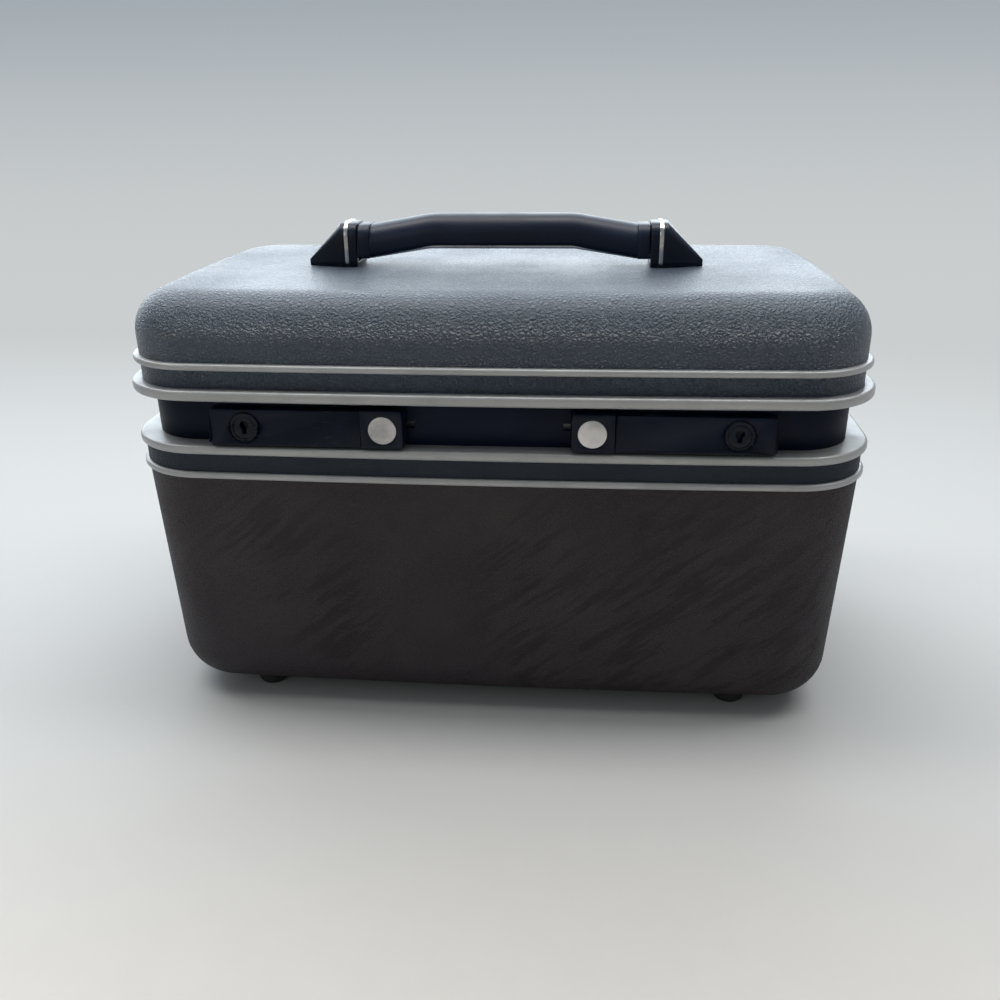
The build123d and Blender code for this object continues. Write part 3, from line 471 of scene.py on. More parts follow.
def relief(tree: Tree, shader: Node, height: NodeSocket, depth: float, strength: float = 1.0) -> None:
    """Joins a height to a shader's normal.

    Args:
        tree: The material's tree.
        shader: The Principled shader.
        height: The height between 0 and 1.
        depth: How deep the pattern is in millimetres.
        strength: How strongly it shows.
    """
    bump = tree.add("Bump", {"Height": height, "Strength": strength, "Distance": depth * MM})
    tree.tree.links.new(bump.outputs[0], shader.inputs["Normal"])


@dataclass(frozen=True)
class GrainedShell:
    """Moulded plastic with a leather grain, for the lid and the body."""

    name: str
    colour: tuple[float, float, float]
    # Painted shade colour that the grain's creases are darkened towards; the body's real streaks use the same colour.
    crease_shade_and_streaks: tuple[float, float, float]
    rubbed: tuple[float, float, float]
    roughness: float = 0.42
    streaks: float = 0.0
    gloss: float = 0.5
    cell: float = 0.0016
    depth: float = 0.30
    coat: float = 0.0
    above: tuple[float, float, float] = (0.010, 0.017, 0.027)

    def build(self, effects: Effects) -> Material:
        """Makes the material.

        Args:
            effects: The shared shader groups.

        Returns:
            The material.
        """
        material, tree, shader = new_material(self.name)
        grain = effects.grain.use(tree, Cell=self.cell)
        wear = effects.wear.use(tree, Scale=420.0, Amount=0.12)
        slow = tree.noise(tree.place(), 14.0, 4.0, 0.6)
        base = tree.blend(tree.ramp(slow, 0.35, 0.7), (*self.colour, 1), (*self.rubbed, 1))
        # Painted shade: the grain's creases are darkened towards the crease colour.
        dark = tree.blend(tree.math("MULTIPLY", grain.outputs["Creases"], 0.35), base, (*self.crease_shade_and_streaks, 1))
        if self.streaks:
            lanes = tree.noise(tree.place((1.0, 1.0, 0.14), (0, -52, 0)), 230.0, 2.0, 0.6)
            where = tree.ramp(tree.noise(tree.place(), 9.0, 2.0), 0.40, 0.60)
            mask = tree.math("MULTIPLY", tree.ramp(lanes, 0.46, 0.62), tree.math("MULTIPLY", where, self.streaks))
            dark = tree.blend(mask, dark, (*self.crease_shade_and_streaks, 1))
            height = tree.add("SeparateXYZ", {0: tree.place()}).outputs[2]
            dark = tree.blend(tree.ramp(height, 0.1205, 0.1215), dark, (*self.above, 1))
        worn = tree.blend(wear.outputs["Mask"], dark, tuple(min(1.0, c * 3.2) for c in self.rubbed) + (1,))
        tree.tree.links.new(worn, shader.inputs["Base Color"])
        rough = tree.ramp(wear.outputs["Rubbed"], 0.3, 0.7, self.roughness - 0.05, self.roughness + 0.09)
        rough = tree.math("ADD", rough, tree.math("MULTIPLY", grain.outputs["Creases"], 0.12))
        tree.tree.links.new(rough, shader.inputs["Roughness"])
        shader.inputs["Specular IOR Level"].default_value = self.gloss
        shader.inputs["Coat Weight"].default_value = self.coat
        shader.inputs["Coat Roughness"].default_value = 0.38
        relief(tree, shader, grain.outputs["Height"], self.depth)
        return material


@dataclass(frozen=True)
class SatinPlastic:
    """Smooth dark plastic or paint with light handling wear."""

    name: str
    colour: tuple[float, float, float]
    roughness: float = 0.35
    worn: tuple[float, float, float] = (0.18, 0.18, 0.19)
    wear: float = 0.4
    scale: float = 320.0
    texture: float = 0.02
    gloss: float = 0.5

    def build(self, effects: Effects) -> Material:
        """Makes the material.

        Args:
            effects: The shared shader groups.

        Returns:
            The material.
        """
        material, tree, shader = new_material(self.name)
        wear = effects.wear.use(tree, Scale=self.scale, Amount=self.wear)
        slow = tree.noise(tree.place(), 30.0, 3.0)
        lifted = tuple(min(1.0, c * 1.5 + 0.002) for c in self.colour)
        base = tree.blend(tree.ramp(slow, 0.35, 0.7), (*self.colour, 1), (*lifted, 1))
        colour = tree.blend(wear.outputs["Mask"], base, (*self.worn, 1))
        tree.tree.links.new(colour, shader.inputs["Base Color"])
        rough = tree.ramp(wear.outputs["Rubbed"], 0.3, 0.7, self.roughness - 0.04, self.roughness + 0.10)
        tree.tree.links.new(rough, shader.inputs["Roughness"])
        shader.inputs["Specular IOR Level"].default_value = self.gloss
        relief(tree, shader, tree.noise(tree.place(), 1400.0, 3.0), self.texture)
        return material


@dataclass(frozen=True)
class BrushedMetal:
    """Bare or satin metal with drawn lines and slow tarnish."""

    name: str
    colour: tuple[float, float, float]
    roughness: float
    lines: float = 0.5
    metallic: float = 1.0
    shade: float = 0.55

    def build(self, effects: Effects) -> Material:
        """Makes the material.

        Args:
            effects: The shared shader groups.

        Returns:
            The material.
        """
        material, tree, shader = new_material(self.name)
        drawn = effects.brushed.use(tree, Lines=1100.0)
        wear = effects.wear.use(tree, Scale=500.0, Amount=0.5)
        dull = tuple(c * self.shade for c in self.colour)
        tarnish = tree.ramp(drawn.outputs["Tarnish"], 0.42, 0.74)
        base = tree.blend(tarnish, (*self.colour, 1), (*dull, 1))
        colour = tree.blend(wear.outputs["Mask"], base, (*dull, 1))
        tree.tree.links.new(colour, shader.inputs["Base Color"])
        rough = tree.math("ADD", tree.ramp(drawn.outputs["Height"], 0.3, 0.7, -0.05, 0.05), self.roughness)
        rough = tree.math("ADD", rough, tree.math("MULTIPLY", tarnish, 0.14))
        tree.tree.links.new(rough, shader.inputs["Roughness"])
        shader.inputs["Metallic"].default_value = self.metallic
        relief(tree, shader, drawn.outputs["Height"], 0.02 * self.lines)
        return material


@dataclass(frozen=True)
class Cloth:
    """Woven cloth on the inside of the shells."""

    name: str
    colour: tuple[float, float, float]
    thread: tuple[float, float, float]

    def build(self, effects: Effects) -> Material:
        """Makes the material.

        Args:
            effects: The shared shader groups.

        Returns:
            The material.
        """
        material, tree, shader = new_material(self.name)
        weave = effects.weave.use(tree, Threads=5200.0)
        slow = tree.noise(tree.place(), 18.0, 4.0)
        base = tree.blend(weave.outputs["Shade"], (*self.colour, 1), (*self.thread, 1))
        aged = tree.blend(tree.ramp(slow, 0.5, 0.8), base, tuple(c * 0.8 for c in self.colour) + (1,))
        tree.tree.links.new(aged, shader.inputs["Base Color"])
        tree.tree.links.new(tree.ramp(slow, 0.3, 0.7, 0.82, 0.94), shader.inputs["Roughness"])
        shader.inputs["Sheen Weight"].default_value = 0.2
        relief(tree, shader, weave.outputs["Height"], 0.12)
        return material


@dataclass(frozen=True)
class SilveredGlass:
    """The mirror's face."""

    name: str = "silvered_glass"

    def build(self, effects: Effects) -> Material:
        """Makes the material.

        Args:
            effects: The shared shader groups.

        Returns:
            The material.
        """
        material, tree, shader = new_material(self.name)
        wear = effects.wear.use(tree, Scale=150.0, Amount=0.25)
        tint = tree.blend(wear.outputs["Mask"], (0.86, 0.87, 0.88, 1), (0.70, 0.70, 0.69, 1))
        tree.tree.links.new(tint, shader.inputs["Base Color"])
        tree.tree.links.new(tree.ramp(wear.outputs["Rubbed"], 0.4, 0.7, 0.02, 0.06), shader.inputs["Roughness"])
        shader.inputs["Metallic"].default_value = 1.0
        return material


class Finishes:
    """Every material on the case, by what it covers."""

    def __init__(self) -> None:
        """Builds the shared groups and then the materials."""
        fx = Effects()
        self.lid_shell = GrainedShell(
            "slate_grain", (0.017, 0.041, 0.076), (0.005, 0.014, 0.030), (0.024, 0.053, 0.092),
            roughness=0.34, gloss=0.85, cell=0.0019, depth=1.3, coat=0.2).build(fx)
        self.body_shell = GrainedShell(
            "charcoal_grain", (0.026, 0.021, 0.025), (0.009, 0.007, 0.009), (0.037, 0.030, 0.033),
            roughness=0.52, streaks=0.65, gloss=0.30, cell=0.0013, depth=0.22).build(fx)
        self.frame_grey = BrushedMetal("frame_grey", (0.34, 0.35, 0.355), 0.36, 0.5, 0.3, 0.85).build(fx)
        self.band = SatinPlastic(
            "band_black", (0.001, 0.004, 0.015), 0.46, (0.03, 0.03, 0.04), 0.12, 260.0, 0.03, 0.12).build(fx)
        self.latch = SatinPlastic(
            "latch_black", (0.0008, 0.004, 0.013), 0.34, (0.10, 0.10, 0.12), 0.10, 520.0, 0.01, 0.16).build(fx)
        self.lock = SatinPlastic(
            "lock_black", (0.001, 0.004, 0.011), 0.30, (0.08, 0.08, 0.09), 0.2, 700.0, 0.01, 0.25).build(fx)
        self.handle = SatinPlastic(
            "handle_black", (0.001, 0.006, 0.020), 0.36, (0.05, 0.06, 0.07), 0.12, 300.0, 0.03, 0.32).build(fx)
        self.cap = SatinPlastic(
            "cap_black", (0.001, 0.005, 0.014), 0.34, (0.06, 0.06, 0.07), 0.15, 300.0, 0.03, 0.3).build(fx)
        self.foot = SatinPlastic(
            "foot_dark", (0.014, 0.014, 0.014), 0.62, (0.08, 0.08, 0.08), 0.5, 260.0, 0.06, 0.3).build(fx)
        self.tray = SatinPlastic(
            "tray_plastic", (0.40, 0.385, 0.37), 0.40, (0.24, 0.23, 0.22), 0.3, 200.0, 0.02).build(fx)
        self.mirror_frame = SatinPlastic(
            "mirror_frame", (0.09, 0.09, 0.10), 0.38, (0.25, 0.25, 0.26), 0.3, 260.0, 0.02).build(fx)
        self.lining = Cloth("lining_cloth", (0.32, 0.30, 0.29), (0.42, 0.40, 0.385)).build(fx)
        self.mirror = SilveredGlass().build(fx)
        self.metal = {m: BrushedMetal(m.name.lower() + "_metal", *m.value).build(fx) for m in Metal}


@dataclass(frozen=True)
class RimPath:
    """The case's outline seen from above: four slightly crowned sides joined by round corners."""

    half_x: float = 167.7
    half_y: float = 94.5
    corner: float = 35.4
    crown: float = 3.05

    def side_radius(self, half: float) -> float:
        """Gives the radius of the crowned side whose half length is given."""
        return ((half - self.crown) ** 2 + self.crown**2) / (2 * self.crown)

    def arcs(self) -> list[tuple[int, float, tuple[float, float]]]:
        """Works out the arcs of the outline, from the middle of the front and round by the left end.

        Returns:
            For each arc: its steps, its angle and its centre.
        """
        long, short = self.side_radius(self.half_x), self.side_radius(self.half_y)
        front = Vector((0.0, long - self.half_y))
        end = Vector((short - self.half_x, 0.0))
        gap = (end - front).length
        a, b = long - self.corner, short - self.corner
        along = (a * a - b * b + gap * gap) / (2 * gap)
        off = math.sqrt(a * a - along * along)
        line = (end - front) / gap
        middle = front + line * along
        choices = [middle + Vector((-line.y, line.x)) * off * s for s in (1, -1)]
        turn = min(choices, key=lambda c: c.x + c.y)
        front_angle = math.atan2(-turn.x, front.y - turn.y)
        end_angle = math.atan2(-turn.y, end.x - turn.x)
        corner_angle = math.pi / 2 - front_angle - end_angle
        x, y = -turn.x, -turn.y
        fy, ex = front.y, end.x
        return [
            (12, front_angle, (0, fy)), (14, corner_angle, (-x, -y)), (12, 2 * end_angle, (ex, 0)),
            (14, corner_angle, (-x, y)), (24, 2 * front_angle, (0, -fy)), (14, corner_angle, (x, y)),
            (12, 2 * end_angle, (-ex, 0)), (14, corner_angle, (x, -y)), (12, front_angle, (0, fy)),
        ]

    def sweep(self, name: str, section: list[tuple[float, float, float]], closed: bool = True) -> Object:
        """Carries a section round the outline.

        Args:
            name: The piece's name.
            section: The section's corners: inset from the outline, height and rounding, in millimetres.
            closed: Whether the section is a ring; an open one has its two ends filled flat.

        Returns:
            The new object.
        """
        piece = wire(name, [(0.0, inset - self.half_y, height) for inset, height in rounded(section, closed)], closed)
        for steps, angle, (x, y) in self.arcs():
            bpy.ops.mesh.spin(steps=steps, angle=angle, center=(x * MM, y * MM, 0), axis=(0, 0, 1))
        bpy.ops.mesh.select_all(action="SELECT")
        bpy.ops.mesh.remove_doubles(threshold=0.02 * MM)
        if not closed:
            bpy.ops.mesh.select_all(action="SELECT")
            bpy.ops.mesh.fill_holes(sides=0)
        bpy.ops.mesh.select_all(action="SELECT")
        bpy.ops.mesh.normals_make_consistent(inside=False)
        deselect()
        smooth(piece)
        return piece


def wire(name: str, points: list[tuple[float, float, float]], closed: bool) -> Object:
    """Draws a chain of points in edit mode, by extruding one corner from place to place.

    Args:
        name: The piece's name.
        points: The chain's places in millimetres.
        closed: Whether it ends where it starts.

    Returns:
        The new object, in edit mode with everything on it selected.
    """
    deselect()
    bpy.ops.mesh.primitive_plane_add(size=2 * MM)
    piece = bpy.context.object
    piece.name = piece.data.name = name
    bpy.ops.object.mode_set(mode="EDIT")
    bpy.ops.mesh.select_all(action="SELECT")
    bpy.ops.mesh.merge(type="CENTER")
    now = Vector(points[0]) * MM
    bpy.ops.transform.translate(value=now)
    for point in points[1:] + (points[:1] if closed else []):
        goal = Vector(point) * MM
        bpy.ops.mesh.extrude_vertices_move(TRANSFORM_OT_translate={"value": goal - now})
        now = goal
    bpy.ops.mesh.select_all(action="SELECT")
    bpy.ops.mesh.remove_doubles(threshold=0.01 * MM)
    bpy.ops.mesh.select_all(action="SELECT")
    return piece


def rounded(corners: list[tuple[float, float, float]], closed: bool) -> list[tuple[float, float]]:
    """Turns a section's corners into points with round corners.

    Args:
        corners: Inset, height and rounding of each corner.
        closed: Whether the last corner joins the first.

    Returns:
        The points in order.
    """
    points: list[tuple[float, float]] = []
    count = len(corners)
    for i, (x, z, r) in enumerate(corners):
        if r <= 0 or (not closed and i in (0, count - 1)):
            points.append((x, z))
            continue
        here = Vector((x, z))
        back = (Vector(corners[i - 1][:2]) - here).normalized()
        ahead = (Vector(corners[(i + 1) % count][:2]) - here).normalized()
        half = back.angle(ahead) / 2
        reach = r / math.tan(half)
        center = here + (back + ahead).normalized() * (r / math.sin(half))
        start, stop = here + back * reach - center, here + ahead * reach - center
        turn = math.atan2(start.x * stop.y - start.y * stop.x, start.dot(stop))
        steps = 2 if r < 0.5 else 5 if r < 5 else 14
        for k in range(steps + 1):
            a = turn * k / steps
            arm = Vector((start.x * math.cos(a) - start.y * math.sin(a), start.x * math.sin(a) + start.y * math.cos(a)))
            points.append(tuple(center + arm))
    return points


@dataclass
class Lid:
    """The lid's shell, its frame bead and the second bead above it."""

    finishes: Finishes
    rim: RimPath
    base: float = 156.15
    flange_top: float = 158.35
    top: float = 200.75
    inset: float = 4.6
    wall: float = 2.6
    round_top: float = 19.5
    bead_top: float = 160.95
    bead_round: float = 1.5
    leg_out: float = 7.2
    leg_in: float = 9.2
    leg_top: float = 168.35
    frame_in: float = 17.0
    trim_out: float = 2.0
    trim_low: float = 169.25
    trim_high: float = 172.25
    trim_round: float = 1.2

    def build(self) -> None:
        """Builds the lid's outside pieces."""
        self.shell()
        self.frame()
        self.trim()

    def shell(self) -> None:
        """Builds the grained shell."""
        flat = self.inset + self.round_top + 1.2
        inner = self.inset + self.wall
        section = [
            (flat, self.top, 0), (self.inset, self.top, self.round_top), (self.inset, self.flange_top, 0),
            (inner, self.flange_top, 0), (inner, self.top - self.wall, self.round_top - self.wall),
            (flat, self.top - self.wall, 0),
        ]
        piece = self.rim.sweep("lid_shell_grained", section, closed=False)
        settle(piece, "lid", "shell_grain", self.finishes.lid_shell, "lid_shell")

    def frame(self) -> None:
        """Builds the lid's frame with its round outer bead."""
        section = [
            (0, self.base, self.bead_round), (self.frame_in, self.base, 0.3), (self.frame_in, self.flange_top, 0.3),
            (self.leg_in, self.flange_top, 0), (self.leg_in, self.leg_top, 0.2), (self.leg_out, self.leg_top, 0.2),
            (self.leg_out, self.flange_top, 0), (self.inset, self.flange_top, 0), (self.inset, self.bead_top, 0.2),
            (0, self.bead_top, self.bead_round),
        ]
        piece = self.rim.sweep("lid_frame_bead", section)
        settle(piece, "lid", "frame_grey", self.finishes.frame_grey, "lid_frame")

    def trim(self) -> None:
        """Builds the second bead."""
        section = [
            (self.trim_out, self.trim_low, self.trim_round), (self.inset, self.trim_low, 0),
            (self.inset, self.trim_high, 0), (self.trim_out, self.trim_high, self.trim_round),
        ]
        piece = self.rim.sweep("lid_trim_bead", section)
        settle(piece, "lid", "frame_grey", self.finishes.frame_grey, "lid_trim")


@dataclass
class Body:
    """The body's shell, its frame with the shelf, the lower bead, the recessed band and the feet."""

    finishes: Finishes
    rim: RimPath
    foot: float = 5.0
    trim_low: float = 120.5
    trim_high: float = 123.5
    shelf_low: float = 133.9
    shelf: float = 136.1
    inset: float = 2.0
    wall: float = 2.6
    draft: float = 2.28
    round_bottom: float = 21.6
    bead_low: float = 131.9
    bead_round: float = 1.5
    leg_out: float = 4.6
    leg_in: float = 6.6
    leg_low: float = 123.9
    frame_in: float = 21.0
    trim_out: float = 0.2
    trim_round: float = 1.2

    def build(self) -> None:
        """Builds the body's outside pieces."""
        self.shell()
        self.frame()
        self.trim()
        f = self.finishes
        finished("latch_band", 0.3, "base", "band_black", f.band)
        finished("feet", 0.5, "base", "foot_dark", f.foot)
        finished("foot_rivets", 0.15, "base", "zinc", f.metal[Metal.ZINC])

    def shell(self) -> None:
        """Builds the grained shell with its drafted sides."""
        low = self.inset + (self.trim_low - self.foot) * math.tan(math.radians(self.draft))
        flat = low + self.round_bottom + 1.0
        inner = self.inset + self.wall
        section = [
            (flat, self.foot, 0), (low, self.foot, self.round_bottom), (self.inset, self.trim_low, 0),
            (self.inset, self.shelf_low, 0), (inner, self.shelf_low, 0), (inner, self.trim_low, 0),
            (low + self.wall, self.foot + self.wall, self.round_bottom - self.wall), (flat, self.foot + self.wall, 0),
        ]
        piece = self.rim.sweep("body_shell_grained", section, closed=False)
        settle(piece, "base", "shell_grain", self.finishes.body_shell, "body_shell")

    def frame(self) -> None:
        """Builds the body's frame: round bead, flat shelf and inner leg."""
        section = [
            (0, self.bead_low, self.bead_round), (self.inset, self.bead_low, 0), (self.inset, self.shelf_low, 0),
            (self.leg_out, self.shelf_low, 0), (self.leg_out, self.leg_low, 0.2), (self.leg_in, self.leg_low, 0.2),
            (self.leg_in, self.shelf_low, 0), (self.frame_in, self.shelf_low, 0.3), (self.frame_in, self.shelf, 0.3),
            (0, self.shelf, self.bead_round),
        ]
        piece = self.rim.sweep("body_frame_bead", section)
        settle(piece, "base", "frame_grey", self.finishes.frame_grey, "body_frame")

    def trim(self) -> None:
        """Builds the lower bead."""
        section = [
            (self.trim_out, self.trim_low, self.trim_round), (self.inset, self.trim_low, 0),
            (self.inset, self.trim_high, 0), (self.trim_out, self.trim_high, self.trim_round),
        ]
        piece = self.rim.sweep("body_trim_bead", section)
        settle(piece, "base", "frame_grey", self.finishes.frame_grey, "body_trim")


@dataclass
class Latches:
    """The two latches: hasp with its key lock, and the release tile beside it."""

    finishes: Finishes
    edge: float = 0.35
    front: float = -90.6
    proud: float = 2.4
    high: float = 152.2
    low: float = 138.4
    top: float = 153.5
    bottom: float = 136.6
    back: float = -86.0
    bar_fall: float = 0.4
    tile_proud: float = 0.45
    tile_rise: float = 0.9
    tile_fall: float = 0.5

    def build(self) -> None:
        """Builds both latches."""
        for side in Side:
            self.hasp(side.value)
            self.tile(side.value)
            self.hidden(side.value)

    def at_front(self, place: Vector) -> bool:
        """Tells whether a corner is on the latch's front."""
        return place.y < self.front

    def at_top(self, place: Vector) -> bool:
        """Tells whether a corner is on the latch's top edge."""
        return place.z > self.high and place.y < self.back

    def at_foot(self, place: Vector) -> bool:
        """Tells whether a corner is on the latch's lower edge."""
        return place.z < self.low and place.y < self.back

    def hasp(self, side: str) -> None:
        """Builds one hasp with its lock, whose faces are meant to lean forward towards the lower edge.

        Args:
            side: The latch's side.
        """
        f = self.finishes
        lean = (self.at_front, self.top, self.proud / (self.top - self.bottom))
        foot = ((self.at_foot, (0, 0, -self.bar_fall)),)
        finished(f"{side}_hasp", self.edge, f"{side}_hasp", "latch_black", f.latch, moves=foot, slant=lean)
        finished(f"{side}_lock_bezel", 0.15, f"{side}_hasp", "latch_black", f.lock, slant=lean)
        finished(f"{side}_key_plug", 0.12, f"{side}_key", "latch_black", f.lock, slant=lean)
        finished(f"{side}_hasp_pin", 0.1, "lid", "steel", f.metal[Metal.STEEL])
        finished(f"{side}_hasp_bracket", 0.15, "lid", "latch_black", f.latch)

    def tile(self, side: str) -> None:
        """Builds one release tile with its plain disc.

        Args:
            side: The latch's side.
        """
        f = self.finishes
        reach = -self.proud - self.tile_proud
        full = (
            (self.at_front, (0, reach, 0)), (self.at_top, (0, 0, self.tile_rise)),
            (self.at_foot, (0, 0, -self.tile_fall)),
        )
        finished(f"{side}_release_button", self.edge, f"{side}_button", "latch_black", f.latch, moves=full)
        whole = ((lambda place: True, (0, reach, 0)),)
        finished(f"{side}_button_disc", 0.1, f"{side}_button", "disc_satin", f.metal[Metal.DISC], moves=whole)

    def hidden(self, side: str) -> None:
        """Builds the catch behind the band.

        Args:
            side: The latch's side.
        """
        f = self.finishes
        zinc = f.metal[Metal.ZINC]
        finished(f"{side}_release_slide", 0.15, f"{side}_button", "latch_black", f.latch)
        finished(f"{side}_release_screw", 0.1, f"{side}_button", "zinc", zinc)
        finished(f"{side}_lock_cam", 0.1, f"{side}_key", "zinc", zinc)
        finished(f"{side}_keeper", 0.15, "base", "zinc", zinc)
        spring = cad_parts[f"{side}_release_spring"]
        spring.material_slots[0].material = f.metal[Metal.STEEL]


@dataclass
class Handle:
    """The grip over its strap, with collars, holders, rings and wedge caps."""

    finishes: Finishes
    reach: float = 64.5
    low: float = 210.05
    height: float = 15.0
    drop: float = 5.0
    width: float = 20.0
    round_top: float = 8.6
    round_low: float = 2.5
    strap_wider: float = 2.3
    strap_ends: float = 2.0
    seat_top: float = 202.3
    seat_drop: float = 1.1

    def grip(self) -> Object:
        """Models the bent grip with its soft upper edges.

        Returns:
            The grip.
        """
        half, top, low = self.width / 2, self.low + self.height - self.drop, self.low - self.drop
        section = rounded([
            (-half, low, self.round_low), (half, low, self.round_low), (half, top, self.round_top),
            (-half, top, self.round_top),
        ], True)
        piece = wire("handle_grip_soft", [(-self.reach, y, z) for y, z in section], True)
        rise = [(-40.0, -0.9), (-37.5, -0.46), (-35.0, -0.17), (-32.5, -0.04), (-30.0, 0.0)]
        path = [(-self.reach, -self.drop), *rise, *((-x, z) for x, z in reversed(rise)), (self.reach, -self.drop)]
        for (x0, z0), (x1, z1) in zip(path, path[1:]):
            step = Vector((x1 - x0, 0, z1 - z0)) * MM
            bpy.ops.mesh.extrude_region_move(TRANSFORM_OT_translate={"value": step})
        bpy.ops.mesh.select_all(action="SELECT")
        bpy.ops.mesh.fill_holes(sides=0)
        bpy.ops.mesh.select_all(action="SELECT")
        bpy.ops.mesh.normals_make_consistent(inside=False)
        deselect()
        smooth(piece, 40)
        return piece

    def strap(self) -> Object:
        """Shapes the strap, which shows as a bright line under the grip.

        Returns:
            The strap.
        """
        middle = self.reach - self.strap_ends
        front = (lambda place: place.y < 0 and abs(place.x) < middle, (0, -self.strap_wider, 0))
        rear = (lambda place: place.y > 0 and abs(place.x) < middle, (0, self.strap_wider, 0))
        return machined("handle_strap", 0.2, (front, rear))

    def build(self) -> None:
        """Builds the handle."""
        f = self.finishes
        steel, zinc, chrome = (f.metal[m] for m in (Metal.STEEL, Metal.ZINC, Metal.CHROME))
        settle(self.grip(), "handle", "handle_black", f.handle, "handle_grip")
        finished("handle_collars", 0.3, "handle", "handle_black", f.handle)
        settle(self.strap(), "handle", "chrome", chrome, "handle_strap")
        finished("handle_pins", 0.1, "handle", "steel", steel)
        finished("handle_screws", 0.12, "lid", "zinc", zinc)
        finished("backing_plates", 0.2, "lid", "zinc", zinc)
        for side in Side:
            s = side.value
            seat = ((lambda place: place.z < self.seat_top, (0, 0, -self.seat_drop)),)
            finished(f"{s}_handle_cap", 0.4, "lid", "cap_black", f.cap, moves=seat)
            finished(f"{s}_handle_holder", 0.3, "lid", "cap_black", f.cap, moves=seat)
            finished(f"{s}_handle_trim_ring", 0.3, "lid", "chrome", chrome)
            finished(f"{s}_cap_seat_pad", 0.2, "lid", "foot_dark", f.foot)


@dataclass
class Inside:
    """The linings, mirror, tray and what carries them."""

    finishes: Finishes

    def build(self) -> None:
        """Builds the inside."""
        f = self.finishes
        zinc = f.metal[Metal.ZINC]
        finished("body_lining", 0.3, "base", "lining_cloth", f.lining)
        finished("lid_lining", 0.3, "lid", "lining_cloth", f.lining)
        finished("mirror_glass", 0.2, "lid", "mirror", f.mirror)
        finished("mirror_frame", 0.5, "lid", "mirror_frame", f.mirror_frame)
        finished("mirror_screws", 0.12, "lid", "zinc", zinc)
        finished("tray_ledges", 0.4, "base", "tray_plastic", f.tray)
        finished("tray", 0.4, "tray", "tray_plastic", f.tray)
        finished("keeper_screws", 0.1, "base", "zinc", zinc)


@dataclass
class Hinges:
    """The two hinges at the back."""

    finishes: Finishes

    def build(self) -> None:
        """Builds the hinges."""
        f = self.finishes
        steel, zinc = f.metal[Metal.STEEL], f.metal[Metal.ZINC]
        finished("hinge_body_leaves", 0.25, "base", "steel", steel)
        finished("hinge_lid_leaves", 0.25, "lid", "steel", steel)
        finished("hinge_pins", 0.2, "base", "steel", steel)
        finished("hinge_body_rivets", 0.2, "base", "zinc", zinc)
        finished("hinge_lid_rivets", 0.2, "lid", "zinc", zinc)


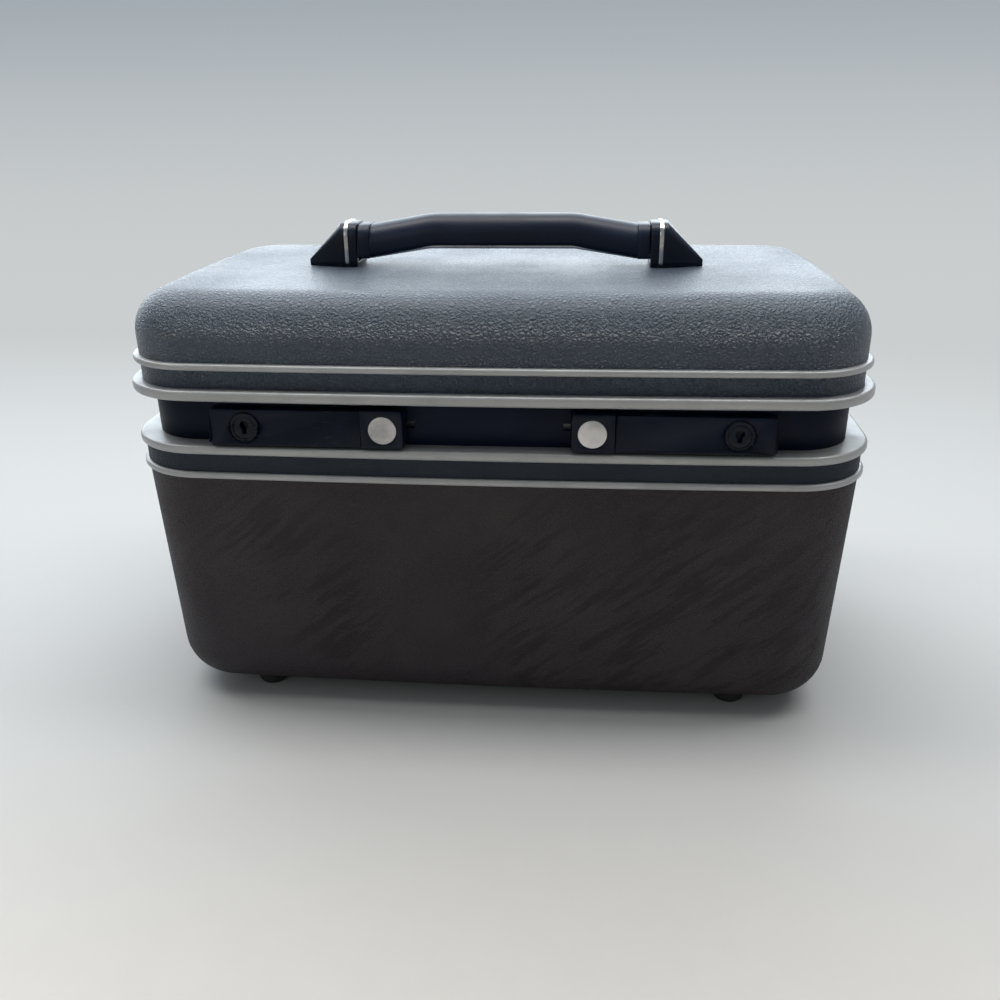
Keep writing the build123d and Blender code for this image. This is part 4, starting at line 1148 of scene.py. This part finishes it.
@dataclass
class Studio:
    """The pale sweep, the lamps and the camera."""

    camera_place: tuple[float, float, float] = (40.43, -468.84, 272.38)
    yaw: float = 0.0929
    pitch: float = 0.397
    roll: float = 0.0117
    focal_pixels: float = 939.0
    lamps: list[tuple[str, tuple[float, float, float], tuple[float, float], float, tuple[float, float, float]]] = field(
        default_factory=lambda: [
            ("key", (-0.30, 1.20, 0.72), (2.6, 1.3), 3.2, (0.84, 0.93, 1.0)),
            ("top", (0.0, 0.20, 1.25), (2.2, 1.4), 1.5, (1.0, 0.985, 0.96)),
            ("over", (0.0, 0.0, 0.95), (1.8, 0.22), 6.0, (1.0, 0.985, 0.96)),
            ("fill", (-0.9, -1.5, 0.7), (1.2, 0.9), 0.5, (1.0, 0.98, 0.95)),
        ])

    def build(self) -> None:
        """Builds the stage, lamps, world and camera."""
        self.sweep()
        for lamp in self.lamps:
            self.lamp(*lamp)
        self.world()
        self.camera()
        bpy.context.scene.view_settings.view_transform = "Standard"

    def sweep(self) -> None:
        """Builds the floor that curves up into the backdrop."""
        deselect()
        bpy.ops.mesh.primitive_plane_add(size=8.0, location=(0, -1.6, 0))
        floor = bpy.context.object
        floor.name = "floor_sweep"
        bpy.ops.object.transform_apply(location=True)
        bpy.ops.object.mode_set(mode="EDIT")
        bpy.ops.mesh.select_all(action="DESELECT")
        deselect()
        for edge in floor.data.edges:
            edge.select = all(floor.data.vertices[v].co.y > 2.3 for v in edge.vertices)
        take(floor)
        bpy.ops.object.mode_set(mode="EDIT")
        bpy.ops.mesh.select_mode(type="EDGE")
        bpy.ops.mesh.extrude_region_move(TRANSFORM_OT_translate={"value": (0, 0, 4.0)})
        deselect()
        for edge in floor.data.edges:
            ends = [floor.data.vertices[v].co for v in edge.vertices]
            edge.select = all(c.y > 2.3 and c.z < 0.01 for c in ends)
        take(floor)
        bpy.ops.object.mode_set(mode="EDIT")
        bpy.ops.mesh.bevel(offset=1.4, segments=24)
        bpy.ops.mesh.select_mode(type="VERT")
        deselect()
        smooth(floor, 60)
        floor.data.materials.append(self.paper())

    def paper(self) -> Material:
        """Makes the floor's pale paper: it takes shadows near the case, is painted darker and cooler towards the case
        as painted shade, and behind the case turns into a plain glow that paints the backdrop's light.

        Returns:
            The material.
        """
        material, tree, shader = new_material("studio_paper")
        parts = tree.add("SeparateXYZ", {0: tree.place()}).outputs
        grain = tree.noise(tree.place(), 60.0, 3.0)
        near = tree.blend(tree.ramp(grain, 0.3, 0.7), (0.78, 0.725, 0.655, 1), (0.81, 0.755, 0.685, 1))
        # Painted shade: the floor's colour darkens and cools from the front towards the case.
        floor_with_painted_shade = tree.blend(tree.ramp(parts[1], -0.60, -0.05), near, (0.44, 0.45, 0.455, 1))
        tree.tree.links.new(floor_with_painted_shade, shader.inputs["Base Color"])
        shader.inputs["Roughness"].default_value = 0.9
        shader.inputs["Specular IOR Level"].default_value = 0.1
        # Painted light: behind the case the paper glows for camera, glossy and transmission rays, lighter near the
        # floor and darker and bluer towards the top, so reflections show it too.
        painted_backdrop_glow = tree.blend(tree.ramp(parts[2], -0.1, 0.75), (0.60, 0.625, 0.63, 1), (0.32, 0.365, 0.41, 1))
        plain = tree.add("Emission", {0: painted_backdrop_glow, 1: 1.0})
        path = tree.add("LightPath").outputs
        seen = tree.math("ADD", path["Is Camera Ray"], path["Is Glossy Ray"], clamp=True)
        seen = tree.math("ADD", seen, path["Is Transmission Ray"], clamp=True)
        factor = tree.math("MULTIPLY", tree.ramp(parts[1], 0.0, 0.75), seen)
        mixed = tree.add("MixShader", {0: factor, 1: shader.outputs[0], 2: plain.outputs[0]})
        tree.tree.links.new(mixed.outputs[0], tree.tree.nodes["Material Output"].inputs["Surface"])
        return material

    def lamp(self, name: str, place: tuple[float, float, float], size: tuple[float, float], level: float,
             colour: tuple[float, float, float]) -> None:
        """Adds one soft lamp that points at the case.

        Args:
            name: The lamp's name.
            place: Where it stands, in metres.
            size: Its width and height in metres.
            level: How bright its face is.
            colour: Its colour.
        """
        data = bpy.data.lights.new(name, "AREA")
        data.shape = "RECTANGLE"
        data.size, data.size_y = size
        data.energy = level * math.pi * size[0] * size[1]
        data.color = colour
        lamp = bpy.data.objects.new(name, data)
        bpy.context.scene.collection.objects.link(lamp)
        lamp.location = place
        aim = Vector((0, 0, 0.12)) - Vector(place)
        lamp.rotation_euler = aim.to_track_quat("-Z", "Y").to_euler()
        lamp.visible_camera = False

    def world(self) -> None:
        """Sets the even light from all round."""
        world = bpy.data.worlds.new("studio_air")
        world.use_nodes = True
        shade = world.node_tree.nodes["Background"]
        shade.inputs[0].default_value = (0.95, 0.98, 1.0, 1)
        shade.inputs[1].default_value = 0.26
        bpy.context.scene.world = world

    def camera(self) -> None:
        """Adds the camera at the photograph's place."""
        data = bpy.data.cameras.new("photo_camera")
        data.sensor_width = 36.0
        data.lens = 36.0 * self.focal_pixels / 1000
        data.clip_start = 0.01
        camera = bpy.data.objects.new("photo_camera", data)
        bpy.context.scene.collection.objects.link(camera)
        cy, sy, cp, sp = math.cos(self.yaw), math.sin(self.yaw), math.cos(self.pitch), math.sin(self.pitch)
        right = Vector((cy, sy, 0))
        ahead = Vector((-sy * cp, cy * cp, -sp))
        up = right.cross(ahead)
        turned_right = right * math.cos(self.roll) - up * math.sin(self.roll)
        turned_up = right * math.sin(self.roll) + up * math.cos(self.roll)
        frame_axes = Matrix((turned_right, turned_up, -ahead)).transposed()
        camera.matrix_world = Matrix.Translation(Vector(self.camera_place) * MM) @ frame_axes.to_4x4()
        bpy.context.scene.camera = camera


def main() -> None:
    """Builds every sub-assembly in order and then the studio."""
    logging.basicConfig(level=logging.INFO, format="%(message)s")
    finishes, rim = Finishes(), RimPath()
    Lid(finishes, rim).build()
    Body(finishes, rim).build()
    Latches(finishes).build()
    Handle(finishes).build()
    Inside(finishes).build()
    Hinges(finishes).build()
    Studio().build()


if __name__ == "__main__":
    main()
